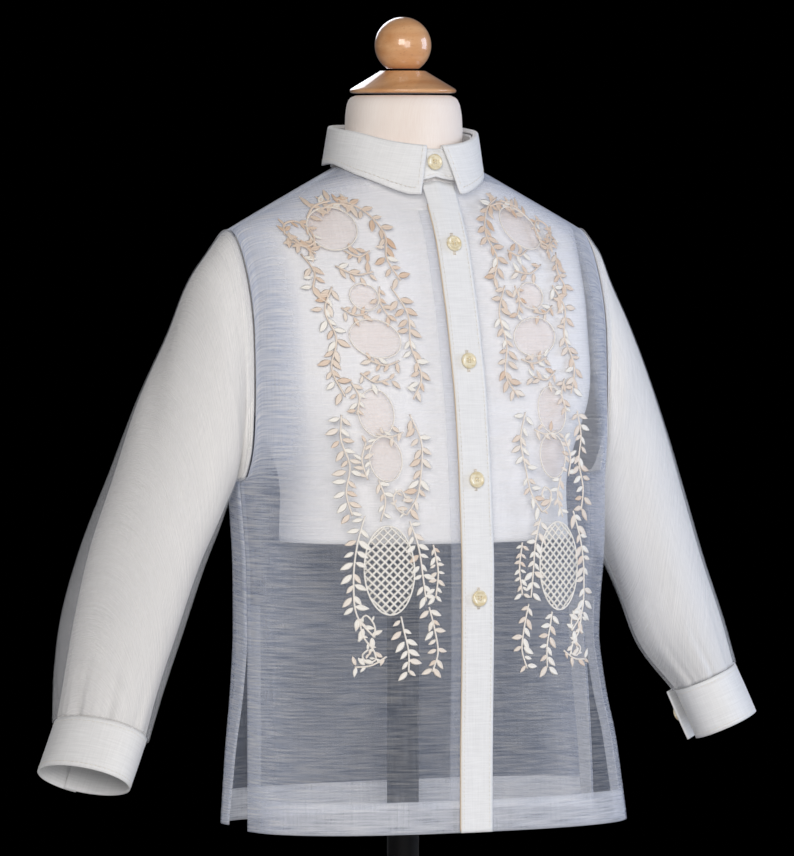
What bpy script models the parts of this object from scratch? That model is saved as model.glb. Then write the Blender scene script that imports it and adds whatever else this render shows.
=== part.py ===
"""Child's barong tagalog shirt on a limbless dress form with a pole and a round base.

The shirt is open-weave cloth cut as two fronts, a back, two sleeves with linings, two cuffs
and a two-piece collar, finished with a placket band, hems and vent facings. Every cloth piece
is a thin wall. The origin is under the middle of the base, +Z is up, the fronts face -Y and
the wearer's left is +X. Tables are in millimetres, heights measured up from the front hem.
"""

import bpy
import numpy as np
from mathutils import Vector

MM = 0.001
HEM_ABOVE_FLOOR = 150.0  # front hem to floor
CLOTH = 1.0  # wall of one layer of cloth
DOUBLE_CLOTH = 1.6  # wall of interfaced pieces: collar, cuffs
SEAM = 0.3  # gap between neighbouring pieces
SEAM_HALF = 0.2  # what each panel keeps back from a seam it shares

# Sections of the shirt body: half widths, depths of the centre front, centre back and side seam.
BODY_COLUMNS = ("height", "right", "left", "front", "back", "side", "back_side")
BODY = (
    (0, 134, 151, -106, 46, -30, 1),
    (60, 134, 141.5, -106, 43, -30, -12),
    (90, 134, 134, -107, 41, -30, -22),
    (129, 134, 127, -108, 39, -30, -30),
    (156, 134, 128, -108, 38, -29, -29),
    (187, 134, 132, -108, 38, -28, -28),
    (241, 135, 136, -104, 42, -20, -20),
    (262, 138.5, 139, -102, 44, -17, -17),
    (300, 142, 142, -97, 48, -12, -12),
    (350, 145, 145, -86, 50, -8, -8),
    (394, 147, 147, -73, 53, -5, -5),
    (423, 148, 148, -62, 55, -4, -4),
    (447, 149, 149, -55, 56, -4, -4),
    (490, 150, 150, -50, 54, -4, -4),
)
FRONT_POWER = 2.4  # superellipse powers of the body's section
BACK_POWER = 3.0

SHOULDER_Y = -4.0
NECK_SIDE = 55.0  # neck end of the shoulder seam
NECK_SIDE_HEIGHT = 451.0
SHOULDER_SLOPE = 0.51
FRONT_ROLL = 74.0  # height over which the chest turns in to the shoulder seam
BACK_ROLL = 50.0
NECKLINE = (51.0, 48.5, 45.0)  # half width of the neck seam, and its depths in front and behind
NECKLINE_Y = 0.5

ARMHOLE_X = 135.0
UNDERARM = 241.0
SLEEVE_GAP = 1.1  # from the panels' edges to the sleeve's first ring
BACK_HEM = 4.0
FRONT_HEM = 2.0

CENTRE_FRONT = 1.7
PLACKET = (-10.2, 13.6)  # edges of the placket band across the front
FRONT_SEAM = 7.0  # where the left front joins its placket, under the band
# Heights of the lower rows of every panel: the second is the top of the hem band, the fifth
# the bottom of the side seam, the sixth the top of the vent facings.
LOWER_ROWS = (0, 22, 55, 92, 127, 154, 186, 218, 250, 283, 316, 346)
ROWS_BELOW_TOP = (0, 1.5, 5, 11, 20, 32, 48, 70)
HEM_ROWS = 2
VENT_ROWS = 6
NECK_SHARE = 0.36  # share of a panel's columns that meet the neck seam
EDGE_CROWDING = 0.9  # below 1 spreads the columns away from the side seam
RISE_START = 330.0  # above this the columns lean from the side seam to the shoulder's spacing
# Soft folds in the body: how far they stand out, their two ends, and their half width.
RUCK_COLUMNS = ("out", "x", "height", "last_x", "last_height", "reach")
FRONT_RUCKS = (
    (2.6, -92, 118, -112, 44, 12),
    (-1.8, -74, 128, -90, 52, 12),
    (2.2, -98, 292, -118, 246, 11),
    (2.4, 100, 300, 122, 252, 11),
    (1.8, 96, 150, 104, 60, 13),
    (-1.6, 116, 140, 124, 70, 12),
)
BACK_RUCKS = (
    (2.6, -62, 190, -54, 40, 15),
    (-2.0, -92, 170, -96, 60, 14),
    (2.2, 18, 160, 26, 30, 16),
    (2.8, 78, 210, 70, 50, 15),
    (-2.0, 102, 150, 108, 50, 13),
    (2.0, -100, 300, -118, 256, 11),
    (2.0, 98, 305, 119, 254, 11),
)

# Dress form, by the same section rule with this much ease inside the shirt.
FORM_BOTTOM = 198.0
FORM_COLUMNS = ("height", "half", "front", "back", "side", "power")
FORM = (
    (198, 104, -100, 35, -32, 2.2),
    (248, 105, -97, 35, -30, 2.3),
    (270, 112, -94, 36.5, -28, 2.6),
    (290, 118, -91.5, 37.5, -25.5, 3),
    (350, 121, -79, 41, -16, 3.2),
    (385, 122, -69, 42, -9, 3.2),
    (410, 123, -60, 41, -6, 3),
    (440, 123, -46, 39, -4, 2.6),
)
FORM_SIDES = 40
FORM_SHOULDER_DROP = 5.0
FORM_SHOULDER_TOP = 433.0
NECK_COLUMNS = ("height", "radius", "y")
NECK = (
    (444, 43.5, -1),
    (456, 41.3, -1),
    (480, 40.5, -1),
    (494, 39.4, -0.5),
    (500.5, 37, 0),
    (502, 33, 0),
)
# Turned profiles: radius and height, from the axis down the outer side to the axis.
CAP_PROFILE = (
    (0, 519),
    (15.6, 519),
    (16.5, 518.4),
    (35.6, 506.9),
    (37, 505.6),
    (36.2, 503.9),
    (34, 503.5),
    (0, 503.5),
)
BALL_RADIUS = 19.5
BALL_CENTRE = 536.6
BALL_FOOT = 11.0
POLE_RADIUS = 11.0
BASE_PROFILE = (
    (0, 34),
    (17, 34),
    (20, 32),
    (22, 20),
    (30, 17),
    (118, 13),
    (127, 9),
    (130, 4.5),
    (128.5, 0),
    (0, 0),
)

# Sleeves: each ring's outer and inner points, its depth, its half size front to back, and how
# far its front-to-back axis is turned outwards behind.
SLEEVE_COLUMNS = ("outer", "outer_height", "inner", "inner_height", "y", "along", "turn")
RIGHT_SLEEVE = (
    (147, 399, 138.5, 238, -7, 37, 2),
    (160, 379, 140, 233, -6, 40, 5),
    (172, 345, 143, 225, -3, 44, 9),
    (187, 303, 148, 213, 3, 47, 14),
    (202, 255, 154, 196, 9, 48.5, 19),
    (219, 203, 163, 172, 16, 49.5, 23),
    (230, 155, 174, 132, 24, 48, 26),
    (235, 116, 184, 91, 30, 42.5, 27),
    (235, 81, 193, 57, 34, 37, 27),
)
LEFT_SLEEVE = (
    (144, 398, 138.5, 238, -7, 37, 2),
    (153, 378, 140, 234, -6, 40, 5),
    (169, 348, 142, 227, -4, 43.5, 9),
    (186, 314, 146, 218, 0, 45, 13),
    (204, 271, 152, 204, 3, 46, 18),
    (222, 225, 161, 186, 8, 47, 22),
    (240, 179, 178, 157, 13, 47, 25),
    (259, 135, 199, 116, 18, 44, 27),
    (273, 102, 230, 83, 23, 37, 27),
)
LINING_COLUMNS = ("along", "across", "shift")  # how much narrower than the sleeve, and how far in
LINING = (
    (4, 5, 0),
    (4, 4, 0),
    (4, 4, 0),
    (4, 4, 1),
    (5, 5, 1),
    (6, 6, 2),
    (8, 7, 4),
    (7, 6, 3),
    (3, 3, 0),
)
# Folds in the sleeves: how deep a trough (ridges below nought), its ring and degrees at each end,
# and its half width in degrees.
FOLD_COLUMNS = ("wearer", "depth", "ring", "turn", "last_ring", "last_turn", "reach")
SLEEVE_FOLDS = (
    (-1, 2.4, 0.6, 305, 3.6, 330, 15),
    (-1, -1.6, 0.8, 275, 3.0, 296, 12),
    (-1, 1.8, 3.2, 262, 5.4, 300, 16),
    (-1, 1.6, 5.6, 225, 7.4, 250, 14),
    (-1, 2.0, 1.4, 60, 3.8, 95, 16),
    (1, 2.2, 2.2, 268, 4.8, 300, 15),
    (1, 1.8, 4.4, 245, 6.6, 262, 14),
    (1, 1.7, 5.8, 315, 7.6, 300, 14),
    (1, -1.4, 3.0, 330, 5.2, 322, 12),
    (1, 2.0, 1.2, 75, 4.2, 60, 16),
)
CUFF_GATHERS = 9  # soft pleats where the sleeve is gathered into its cuff
GATHER_DEPTH = 0.8
SLEEVE_SIDES = 22
CUFF_LENGTH = 37.0
CUFF_SEAM = 0.5  # below the sleeve's last ring
CUFF_STEPS = 27
CUFF = (35.5, 22.5)  # half sizes of the cuff's oval
CUFF_OPENINGS = {"right": (320.0, 16.0), "left": (256.0, -26.0)}  # degrees: where it ends, its lap
CUFF_BUTTONS = {"right": 14.0, "left": 10.0}  # degrees back from the band's end
CUFF_LIFT = 2.2  # the lapped cuff's upper end stands over its under end
CUFF_BUTTON_REACH = 0.12  # radians each side over which a cuff button finds its lean
OPEN_CUFF_FLARE = 6.0  # how far the unbuttoned cuff's inner end stands out

STAND_STEPS = 37
STAND_LEAN = 3.0  # how much the stand narrows towards its top
STAND_LIFT = 2.1  # the stand's upper end stands over its under end
STAND_SEAM = 1.9  # above the neck seam, clear of the panels' sloping rims
STAND_BELOW_FOLD = 3.0
LEAF_STEPS = 33
STAND_LAP = 15.0  # degrees each side of the centre front
COLLAR_COLUMNS = ("y", "fold", "edge")  # heights of the leaf's fold and edge, front to back
COLLAR = (
    (-52, 467, 434.5),
    (-40, 471, 442),
    (-24, 476, 448.5),
    (0, 479, 455),
    (24, 481, 454),
    (52, 482, 456),
)
LEAF_TOP = (52.6, 51.0, 48.5)  # half width, and depths in front and behind
LEAF_EDGE = (56.0, 57.0, 54.0)
LEAF_FRONT_EDGE = ((-7.0, -14.0), (5.5, 17.5))  # right, left: front edge at fold and at point

BUTTON_PROFILE = (
    (0, 1.7),
    (3.5, 1.7),
    (4.5, 2.4),
    (5.6, 1.4),
    (4.5, 0),
    (0, 0),
)
BUTTON_HEIGHTS = (400, 321, 241, 161)
STAND_BUTTON_HEIGHT = 456.0
STAND_BUTTON_X = -1.5

COLOURS = {
    "cloth": (0.74, 0.74, 0.72, 0.55),
    "lining": (0.80, 0.79, 0.76, 0.3),
    "jersey": (0.82, 0.71, 0.64, 0.85),
    "wood": (0.55, 0.30, 0.13, 0.3),
    "iron": (0.03, 0.03, 0.035, 0.45),
    "button": (0.72, 0.60, 0.38, 0.2),
}


def column(table, columns, name):
    """One named column of a table."""
    return np.array([row[columns.index(name)] for row in table], float)


def body(name, height):
    return np.interp(height, column(BODY, BODY_COLUMNS, "height"), column(BODY, BODY_COLUMNS, name))


def half_width(x, height):
    return np.where(x < 0, body("right", height), body("left", height))


def shoulder_height(x):
    return NECK_SIDE_HEIGHT - SHOULDER_SLOPE * (np.abs(x) - NECK_SIDE)


def roll(x, height, length, drop=0.0):
    """Share of the chest's depth left near the shoulder: a quarter ellipse, 0 on the seam."""
    below = np.clip((shoulder_height(x) - drop - height) / length, 0.0, 1.0)
    return np.sqrt(1.0 - (1.0 - below) ** 2)


def section(x, half, power):
    """A superellipse's depth at x, as a share of its depth in the middle."""
    return (1.0 - np.clip(np.abs(x) / half, 0.0, 1.0) ** power) ** (1.0 / power)


def rucks(table, x, height):
    """How far the soft folds stand out: each a rounded bank along its line, fading at its ends."""
    out = np.zeros(np.broadcast(x, height).shape)
    for size, first_x, first_height, last_x, last_height, reach in table:
        run_x, run_height = last_x - first_x, last_height - first_height
        length = np.hypot(run_x, run_height)
        along = ((x - first_x) * run_x + (height - first_height) * run_height) / length**2
        beside = ((x - first_x) * run_height - (height - first_height) * run_x) / length
        fading = np.clip(np.abs(along - 0.5) - 0.25, 0.0, None) * 4
        out = out + size * np.exp(-((beside / reach) ** 2) - fading**2)
    return out


def front_y(x, height):
    """Depth of the front's outer face."""
    side = body("side", height)
    chest = side + (body("front", height) - side) * section(x, half_width(x, height), FRONT_POWER)
    chest = chest - rucks(FRONT_RUCKS, x, height)
    share = roll(x, height, FRONT_ROLL)
    seam = SHOULDER_Y + (side - SHOULDER_Y) * share
    return np.minimum(SHOULDER_Y + (chest - SHOULDER_Y) * share, seam - SEAM_HALF)


def back_y(x, height):
    """Depth of the back's outer face."""
    side = body("back_side", height)
    blade = side + (body("back", height) - side) * section(x, half_width(x, height), BACK_POWER)
    blade = blade + rucks(BACK_RUCKS, x, height)
    share = roll(x, height, BACK_ROLL)
    seam = SHOULDER_Y + (side - SHOULDER_Y) * share
    return np.maximum(SHOULDER_Y + (blade - SHOULDER_Y) * share, seam + SEAM_HALF)


def neckline_height(x, depth, sign):
    """Where the panel meets the neck seam's oval, found along a fine ladder of heights."""
    ladder = np.linspace(400, 480, 321)
    heights = []
    for place in np.atleast_1d(x):
        reach = NECKLINE[1] if sign < 0 else NECKLINE[2]
        rim = NECKLINE_Y + sign * reach * np.sqrt(max(0.0, 1 - (place / NECKLINE[0]) ** 2))
        inside = sign * (depth(np.full_like(ladder, place), ladder) - rim) > 0
        top = ladder[inside].max() if inside.any() else ladder[0]
        heights.append(min(top, float(shoulder_height(place))))
    return np.array(heights)


def panel(depth, sign, wearer, start, hem, columns):
    """Points of a front or back half from its centre edge to its side, hem row first.

    Across, each point runs from the centre edge to the side seam or armhole. Up, the lower
    rows keep their heights and the upper rows hang a set distance below the neck seam and the
    shoulder seam, where the cloth turns.
    """
    share = np.linspace(0.0, 1.0, columns + 1)
    neck = round(columns * NECK_SHARE)
    neck_x = start + (NECKLINE[0] - start) * np.sin(np.linspace(0, 1, neck + 1) * np.pi / 2)
    shoulder_x = np.linspace(NECKLINE[0], ARMHOLE_X, columns - neck + 1)[1:]
    top_x = wearer * np.concatenate([neck_x, shoulder_x])
    top = np.minimum(neckline_height(top_x, depth, sign), shoulder_height(top_x))
    top[neck + 1 :] = shoulder_height(top_x[neck + 1 :])
    rows = np.array(LOWER_ROWS, float) + hem
    falls = np.array(ROWS_BELOW_TOP[::-1], float)
    stretch = (top - falls[0] - rows[-1])[None, :] * ((rows - hem) / LOWER_ROWS[-1])[:, None] ** 3
    height = np.concatenate([(rows[:, None] + stretch)[:-1], top[None, :] - falls[:, None]])
    edge = np.where(height < UNDERARM, half_width(wearer * 1.0, height), ARMHOLE_X)
    hanging = start + (edge - start) * np.sin(share * np.pi / 2) ** EDGE_CROWDING
    rise = np.clip((height - RISE_START) / (top - RISE_START), 0.0, 1.0)
    rise = rise * rise * (3 - 2 * rise)
    x = wearer * hanging * (1 - rise) + top_x * rise
    return np.stack([x, depth(x, height), height], axis=-1)


def moved(points, out, outward=1):
    """Grid points moved along the grid's own normals; outward is the winding's side."""
    across = np.gradient(points, axis=1)
    along = np.gradient(points, axis=0)
    normal = np.cross(across, along) * outward
    normal /= np.linalg.norm(normal, axis=-1, keepdims=True)
    return points + normal * out


def between(points, first, last):
    """A grid whose end columns are pulled in by these shares of their neighbouring spaces."""
    kept = points.copy()
    kept[:, 0] += (points[:, 1] - points[:, 0]) * first
    kept[:, -1] += (points[:, -2] - points[:, -1]) * last
    return kept


def to_world(points):
    placed = np.array(points, float)
    placed[..., 2] += HEM_ABOVE_FLOOR
    return placed * MM


def grid_faces(rows, columns, closed):
    """Quads of a grid, its last column joined to its first where it is closed."""
    across = columns if closed else columns - 1
    row, place = np.meshgrid(np.arange(rows - 1), np.arange(across), indexing="ij")
    beside = (place + 1) % columns
    below, above = row * columns, (row + 1) * columns
    quads = [below + place, below + beside, above + beside, above + place]
    return np.stack(quads, axis=-1).reshape(-1, 4).tolist()


def add_object(name, vertices, faces, colour):
    mesh = bpy.data.meshes.new(name)
    mesh.from_pydata(vertices, [], faces)
    mesh.update()
    piece = bpy.data.objects.new(name, mesh)
    bpy.data.collections["barong_on_form"].objects.link(piece)
    mesh.materials.append(material(colour))
    return piece


def material(colour):
    """A finish, made once: colour and roughness from the table."""
    if colour in bpy.data.materials:
        return bpy.data.materials[colour]
    made = bpy.data.materials.new(colour)
    made.use_nodes = True
    red, green, blue, roughness = COLOURS[colour]
    shader = made.node_tree.nodes["Principled BSDF"]
    shader.inputs["Base Color"].default_value = (red, green, blue, 1)
    shader.inputs["Roughness"].default_value = roughness
    shader.inputs["Metallic"].default_value = 0.0
    return made


def cloth(name, points, wall=CLOTH, closed=False, outward=1, colour="cloth"):
    """A wall of cloth on the grid of points, grown against the side that outward picks.

    The body's and collar's grids are their outer faces; sleeves and cuffs grow outwards.
    """
    rows, columns = points.shape[:2]
    faces = grid_faces(rows, columns, closed)
    if outward < 0:
        faces = [face[::-1] for face in faces]
    piece = add_object(name, to_world(points).reshape(-1, 3).tolist(), faces, colour)
    solid = piece.modifiers.new("wall", "SOLIDIFY")
    solid.thickness = wall * MM
    solid.offset = -1.0
    piece.data.shade_smooth()
    return piece


def turned(name, profile, steps, colour):
    """A turned solid: its profile runs down the outer side from the axis to the axis."""
    vertices = [(radius * MM, 0.0, height * MM) for radius, height in profile]
    edges = [(i, i + 1) for i in range(len(profile) - 1)]
    mesh = bpy.data.meshes.new(name)
    mesh.from_pydata(vertices, edges, [])
    piece = bpy.data.objects.new(name, mesh)
    bpy.data.collections["barong_on_form"].objects.link(piece)
    mesh.materials.append(material(colour))
    screw = piece.modifiers.new("turn", "SCREW")
    screw.steps = steps
    screw.render_steps = steps
    screw.use_merge_vertices = True
    screw.merge_threshold = 0.00005
    screw.use_smooth_shade = True
    return piece


def build_body():
    """Fronts and back, then the hems and vent facings that lie inside them."""
    fronts = {
        "right": panel(front_y, -1, -1, -FRONT_SEAM + SEAM, FRONT_HEM, 11),
        "left": panel(front_y, -1, 1, FRONT_SEAM + SEAM, FRONT_HEM, 11),
    }
    inside = -CLOTH - SEAM
    for word, outward in (("right", -1), ("left", 1)):
        points = fronts[word]
        cloth(f"front_{word}", points, outward=outward)
        lining = moved(points, inside, outward)
        hem = between(lining[:HEM_ROWS, :-1], 0.0, 0.05)
        cloth(f"hem_front_{word}", hem, outward=outward)
        strip = between(lining[:VENT_ROWS, -2:], 0.0, 0.05)
        cloth(f"vent_facing_front_{word}", strip, outward=outward)
    right, left = (panel(back_y, 1, wearer, 0.0, BACK_HEM, 10) for wearer in (-1, 1))
    back = np.concatenate([right[:, :0:-1], left], axis=1)
    cloth("back", back, outward=-1)
    lining = moved(back, inside, -1)
    cloth("hem_back", between(lining[:HEM_ROWS, 1:-1], 0.08, 0.08), outward=-1)
    cloth("vent_facing_back_right", between(lining[:VENT_ROWS, :2], 0.05, 0.0), outward=-1)
    cloth("vent_facing_back_left", between(lining[:VENT_ROWS, -2:], 0.0, 0.05), outward=-1)
    build_front_bands(fronts["right"], fronts["left"][:, 0, 2])


def build_front_bands(right, heights):
    """Placket band over both fronts, and the facing behind the right front's edge."""
    last = heights[-1] - 1.5
    rows = np.append(heights[heights < last], last)
    x, z = np.meshgrid(np.linspace(*PLACKET, 4), rows)
    band = np.stack([x, front_y(x, z), z], axis=-1)
    cloth("placket_band", moved(band, SEAM + CLOTH), wall=CLOTH)
    facing = moved(right, -CLOTH - SEAM, -1)[HEM_ROWS - 1 : -1, :2]
    facing[0] += (facing[1] - facing[0]) * 0.02
    cloth("underlap_facing", facing, outward=-1)


def sleeve_frame(row, wearer):
    """Centre and the two in-plane axes of one sleeve ring, with its half sizes."""
    outer, outer_height, inner, inner_height, y, along, turn = row
    turn = np.radians(turn)
    width, rise = (outer - inner) / 2, (outer_height - inner_height) / 2
    across = np.hypot(width, rise)
    centre = np.array([wearer * (outer + inner) / 2, y, (outer_height + inner_height) / 2])
    long_axis = np.array([wearer * np.sin(turn), np.cos(turn), 0.0])
    outward = np.array([wearer * np.cos(turn), -np.sin(turn), 0.0])
    cross_axis = (width * outward + rise * np.array([0.0, 0.0, 1.0])) / across
    return centre, long_axis, cross_axis, along, across


def oval(row, wearer, angles, narrower=(0, 0, 0)):
    """One ring's points; narrower takes off its half sizes and moves it towards the body."""
    centre, long_axis, cross_axis, along, across = sleeve_frame(row, wearer)
    centre = centre - cross_axis * narrower[2]
    along, across = (along - narrower[0]) * np.cos(angles), (across - narrower[1]) * np.sin(angles)
    return centre + along[:, None] * long_axis + across[:, None] * cross_axis


def folded(rings, wearer, angles):
    """Sleeve rings pressed in along each fold's line, and gathered a little at the cuff."""
    depth = np.zeros(rings.shape[:2])
    ring = np.arange(len(rings), dtype=float)[:, None]
    for side, size, first, turn, last, last_turn, reach in SLEEVE_FOLDS:
        if side != wearer:
            continue
        along = (ring - first) / (last - first)
        middle = turn + (last_turn - turn) * along
        beside = (np.degrees(angles)[None, :] - middle + 180) % 360 - 180
        fading = np.clip(np.abs(along - 0.5) - 0.25, 0.0, None) * 4
        depth += size * np.exp(-((beside / reach) ** 2) - fading**2)
    gathered = np.clip(ring - len(rings) + 3, 0.0, 1.0)
    depth += GATHER_DEPTH * gathered * np.cos(CUFF_GATHERS * angles)[None, :]
    centre = rings.mean(axis=1, keepdims=True)
    inwards = centre - rings
    inwards /= np.linalg.norm(inwards, axis=-1, keepdims=True)
    return rings + inwards * depth[:, :, None]


def armhole(wearer, angles):
    """The armhole's loop beside the panels' edges: its back half where the cosine is positive."""
    tip = float(shoulder_height(ARMHOLE_X))
    height = (tip + UNDERARM) / 2 + (tip - UNDERARM) / 2 * np.sin(angles)
    x = np.full_like(height, wearer * ARMHOLE_X)
    y = np.where(np.cos(angles) > 0, back_y(x, height), front_y(x, height))
    y = np.where(np.abs(np.cos(angles)) < 1e-6, (back_y(x, height) + front_y(x, height)) / 2, y)
    return np.stack([x + wearer * SLEEVE_GAP, y, height], axis=-1)


def build_sleeves():
    """Sleeves on their armholes, the narrower linings inside them, and the cuffs."""
    angles = np.arange(SLEEVE_SIDES) * 2 * np.pi / SLEEVE_SIDES
    for word, wearer, table in (("right", -1, RIGHT_SLEEVE), ("left", 1, LEFT_SLEEVE)):
        rings = folded(np.array([oval(row, wearer, angles) for row in table]), wearer, angles)
        sleeve = np.concatenate([armhole(wearer, angles)[None], rings])
        cloth(f"sleeve_{word}", sleeve, closed=True, outward=-wearer)
        rings = np.array([oval(row, wearer, angles, LINING[i]) for i, row in enumerate(table)])
        lining = folded(rings, wearer, angles)
        name = f"sleeve_lining_{word}"
        cloth(name, lining, closed=True, outward=-wearer, colour="lining")
        build_cuff(word, wearer, table)


def build_cuff(word, wearer, table):
    """A band below the sleeve's last ring: lapped where it is buttoned, apart where it isn't."""
    centre, long_axis, cross_axis = sleeve_frame(table[-1], wearer)[:3]
    down = np.cross(long_axis, cross_axis)
    down = -down if down[2] > 0 else down
    opening, lap = np.radians(CUFF_OPENINGS[word])
    share = np.linspace(0, 1, CUFF_STEPS)
    angles = opening - share * (2 * np.pi + lap)
    if lap > 0:
        swell = CUFF_LIFT * np.clip((share - 0.82) / 0.14, 0, 1)
    else:
        swell = OPEN_CUFF_FLARE * np.clip((share - 0.86) / 0.14, 0, 1) ** 2
    along = (CUFF[0] + swell) * np.cos(angles)
    across = (CUFF[1] + swell) * np.sin(angles)
    ring = centre + along[:, None] * long_axis + across[:, None] * cross_axis
    drops = CUFF_SEAM + CUFF_LENGTH * np.array([0.0, 0.5, 1.0])
    cloth(f"cuff_{word}", ring + drops[:, None, None] * down, wall=DOUBLE_CLOTH, outward=wearer)
    place = angles[-1] + np.radians(CUFF_BUTTONS[word])
    before, point, after = (
        np.array([np.interp(place + turn, angles[::-1], ring[::-1, axis]) for axis in range(3)])
        for turn in (-CUFF_BUTTON_REACH, 0.0, CUFF_BUTTON_REACH)
    )
    out = np.cross(after - before, down)
    out = out if np.dot(out, point - centre) > 0 else -out
    place_button(f"cuff_button_{word}", point + drops[1] * down, out, DOUBLE_CLOTH + 2 * SEAM)


def build_collar():
    """Stand: a lapped band on the neck seam. Leaf: folded over it, from the fold to its edge."""
    share = np.linspace(0, 1, STAND_STEPS)
    lap = np.radians(STAND_LAP)
    angles = -np.pi / 2 + lap - share * (2 * np.pi + 2 * lap)
    swell = STAND_LIFT * np.clip((share - 0.80) / 0.12, 0, 1)
    x = NECKLINE[0] * np.cos(angles)
    front_base = neckline_height(x, front_y, -1)
    back_base = neckline_height(x, back_y, 1)
    base = np.where(np.sin(angles) < 0, front_base, back_base) + STAND_SEAM
    reach = np.where(np.sin(angles) < 0, NECKLINE[1], NECKLINE[2])
    y = NECKLINE_Y + reach * np.sin(angles)
    depths = column(COLLAR, COLLAR_COLUMNS, "y")
    top = np.interp(y, depths, column(COLLAR, COLLAR_COLUMNS, "fold")) - STAND_BELOW_FOLD
    rings = []
    for step in (0.0, 0.5, 1.0):
        wide = NECKLINE[0] + swell - STAND_LEAN * step
        deep = reach + swell - STAND_LEAN * step
        depth = NECKLINE_Y + deep * np.sin(angles)
        rings.append(np.stack([wide * np.cos(angles), depth, base + (top - base) * step], axis=-1))
    cloth("collar_stand", np.array(rings), wall=DOUBLE_CLOTH, outward=-1)
    build_leaf()


def build_leaf():
    """The folded-down leaf: each ring runs from the right point round the back to the left point."""
    (right_top, right_point), (left_top, left_point) = LEAF_FRONT_EDGE
    rings = []
    for step in np.linspace(0.0, 1.0, 5):
        wide, front, back = np.array(LEAF_TOP) * (1 - step) + np.array(LEAF_EDGE) * step
        begin = -np.pi / 2 + (right_top + (right_point - right_top) * step) / wide
        end = -np.pi / 2 + (left_top + (left_point - left_top) * step) / wide
        angles = np.linspace(begin, end - 2 * np.pi, LEAF_STEPS)
        y = NECKLINE_Y + np.where(np.sin(angles) < 0, front, back) * np.sin(angles)
        depths = column(COLLAR, COLLAR_COLUMNS, "y")
        fold = np.interp(y, depths, column(COLLAR, COLLAR_COLUMNS, "fold"))
        edge = np.interp(y, depths, column(COLLAR, COLLAR_COLUMNS, "edge"))
        rings.append(np.stack([wide * np.cos(angles), y, fold + (edge - fold) * step], axis=-1))
    cloth("collar_leaf", np.array(rings), wall=DOUBLE_CLOTH, outward=1)


def build_buttons():
    """Buttons lie on the placket and stand, square to the cloth under them."""
    for number, height in enumerate((STAND_BUTTON_HEIGHT,) + BUTTON_HEIGHTS, start=1):
        if number == 1:
            point = np.array([STAND_BUTTON_X, NECKLINE_Y - NECKLINE[1] - STAND_LIFT / 2, height])
            normal = np.array([-0.03, -1.0, 0.15])
            lift = 0.6
        else:
            depth = front_y(CENTRE_FRONT, height)
            slope = front_y(CENTRE_FRONT, height + 1.0) - depth
            point = np.array([CENTRE_FRONT, float(depth), height])
            normal = np.array([0.0, -1.0, float(slope)])
            lift = SEAM + CLOTH + 0.2
        place_button(f"button_{number}", point, normal, lift + SEAM)


def place_button(name, point, normal, lift):
    """A turned button, its underside square to the normal and lift above the point."""
    piece = turned(name, BUTTON_PROFILE, 18, "button")
    normal = normal / np.linalg.norm(normal)
    piece.rotation_mode = "QUATERNION"
    piece.rotation_quaternion = Vector(normal.tolist()).to_track_quat("Z", "Y")
    piece.location = to_world(point + normal * lift).tolist()


def build_form():
    """Torso and neck as one loft: torso rings by the shirt's own rule, then round neck rings."""
    angles = np.arange(FORM_SIDES) * 2 * np.pi / FORM_SIDES
    rings = []
    levels = np.concatenate([np.linspace(FORM_BOTTOM, 385, 9), np.linspace(397, FORM_SHOULDER_TOP, 7)])
    for height in levels:
        half, front, back, side, power = (
            np.interp(height, column(FORM, FORM_COLUMNS, "height"), column(FORM, FORM_COLUMNS, name))
            for name in FORM_COLUMNS[1:]
        )
        reach = NECK_SIDE + (NECK_SIDE_HEIGHT - FORM_SHOULDER_DROP - height) / SHOULDER_SLOPE
        x = min(half, reach) * np.cos(angles)
        share = section(x, half + 0.01, power)
        share = np.where(np.abs(np.sin(angles)) < 1e-6, 0.0, share)
        facing_front = np.sin(angles) < 0
        y = side + (np.where(facing_front, front, back) - side) * share
        length = np.where(facing_front, FRONT_ROLL, BACK_ROLL)
        y = SHOULDER_Y + (y - SHOULDER_Y) * roll(x, height, length, FORM_SHOULDER_DROP)
        rings.append(np.stack([x, y, np.full(FORM_SIDES, height)], axis=-1))
    for height, radius, y in NECK:
        level = np.full(FORM_SIDES, float(height))
        rings.append(np.stack([radius * np.cos(angles), y + radius * np.sin(angles), level], axis=-1))
    points = np.array(rings)
    faces = grid_faces(len(rings), FORM_SIDES, True)
    last = (len(rings) - 1) * FORM_SIDES
    faces.append(list(range(FORM_SIDES))[::-1])
    faces.append([last + i for i in range(FORM_SIDES)])
    vertices = to_world(points).reshape(-1, 3).tolist()
    piece = add_object("form_torso", vertices, faces, "jersey")
    piece.data.shade_smooth()


def build_stand():
    """The wooden neck cap and ball above the neck, the pole and base below the form."""
    up = HEM_ABOVE_FLOOR
    turned("neck_cap", [(radius, height + up) for radius, height in CAP_PROFILE], 40, "wood")
    start = np.arcsin(BALL_FOOT / BALL_RADIUS)
    foot = BALL_CENTRE - BALL_RADIUS * np.cos(start)
    angles = np.linspace(0, np.pi - start, 13)
    ball = [(BALL_RADIUS * np.sin(a), BALL_CENTRE + BALL_RADIUS * np.cos(a) + up) for a in angles]
    ball[0] = (0.0, ball[0][1])
    turned("finial_ball", ball + [(0.0, foot + up)], 28, "wood")
    bottom = FORM_BOTTOM + up - SEAM
    hub = BASE_PROFILE[0][1] + SEAM
    turned("pole", ((0, bottom), (POLE_RADIUS, bottom), (POLE_RADIUS, hub), (0, hub)), 24, "iron")
    turned("base", BASE_PROFILE, 48, "iron")


def main():
    for item in list(bpy.data.objects):
        bpy.data.objects.remove(item, do_unlink=True)
    parts = bpy.data.collections.new("barong_on_form")
    bpy.context.scene.collection.children.link(parts)
    build_form()
    build_stand()
    build_body()
    build_sleeves()
    build_collar()
    build_buttons()


main()
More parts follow.
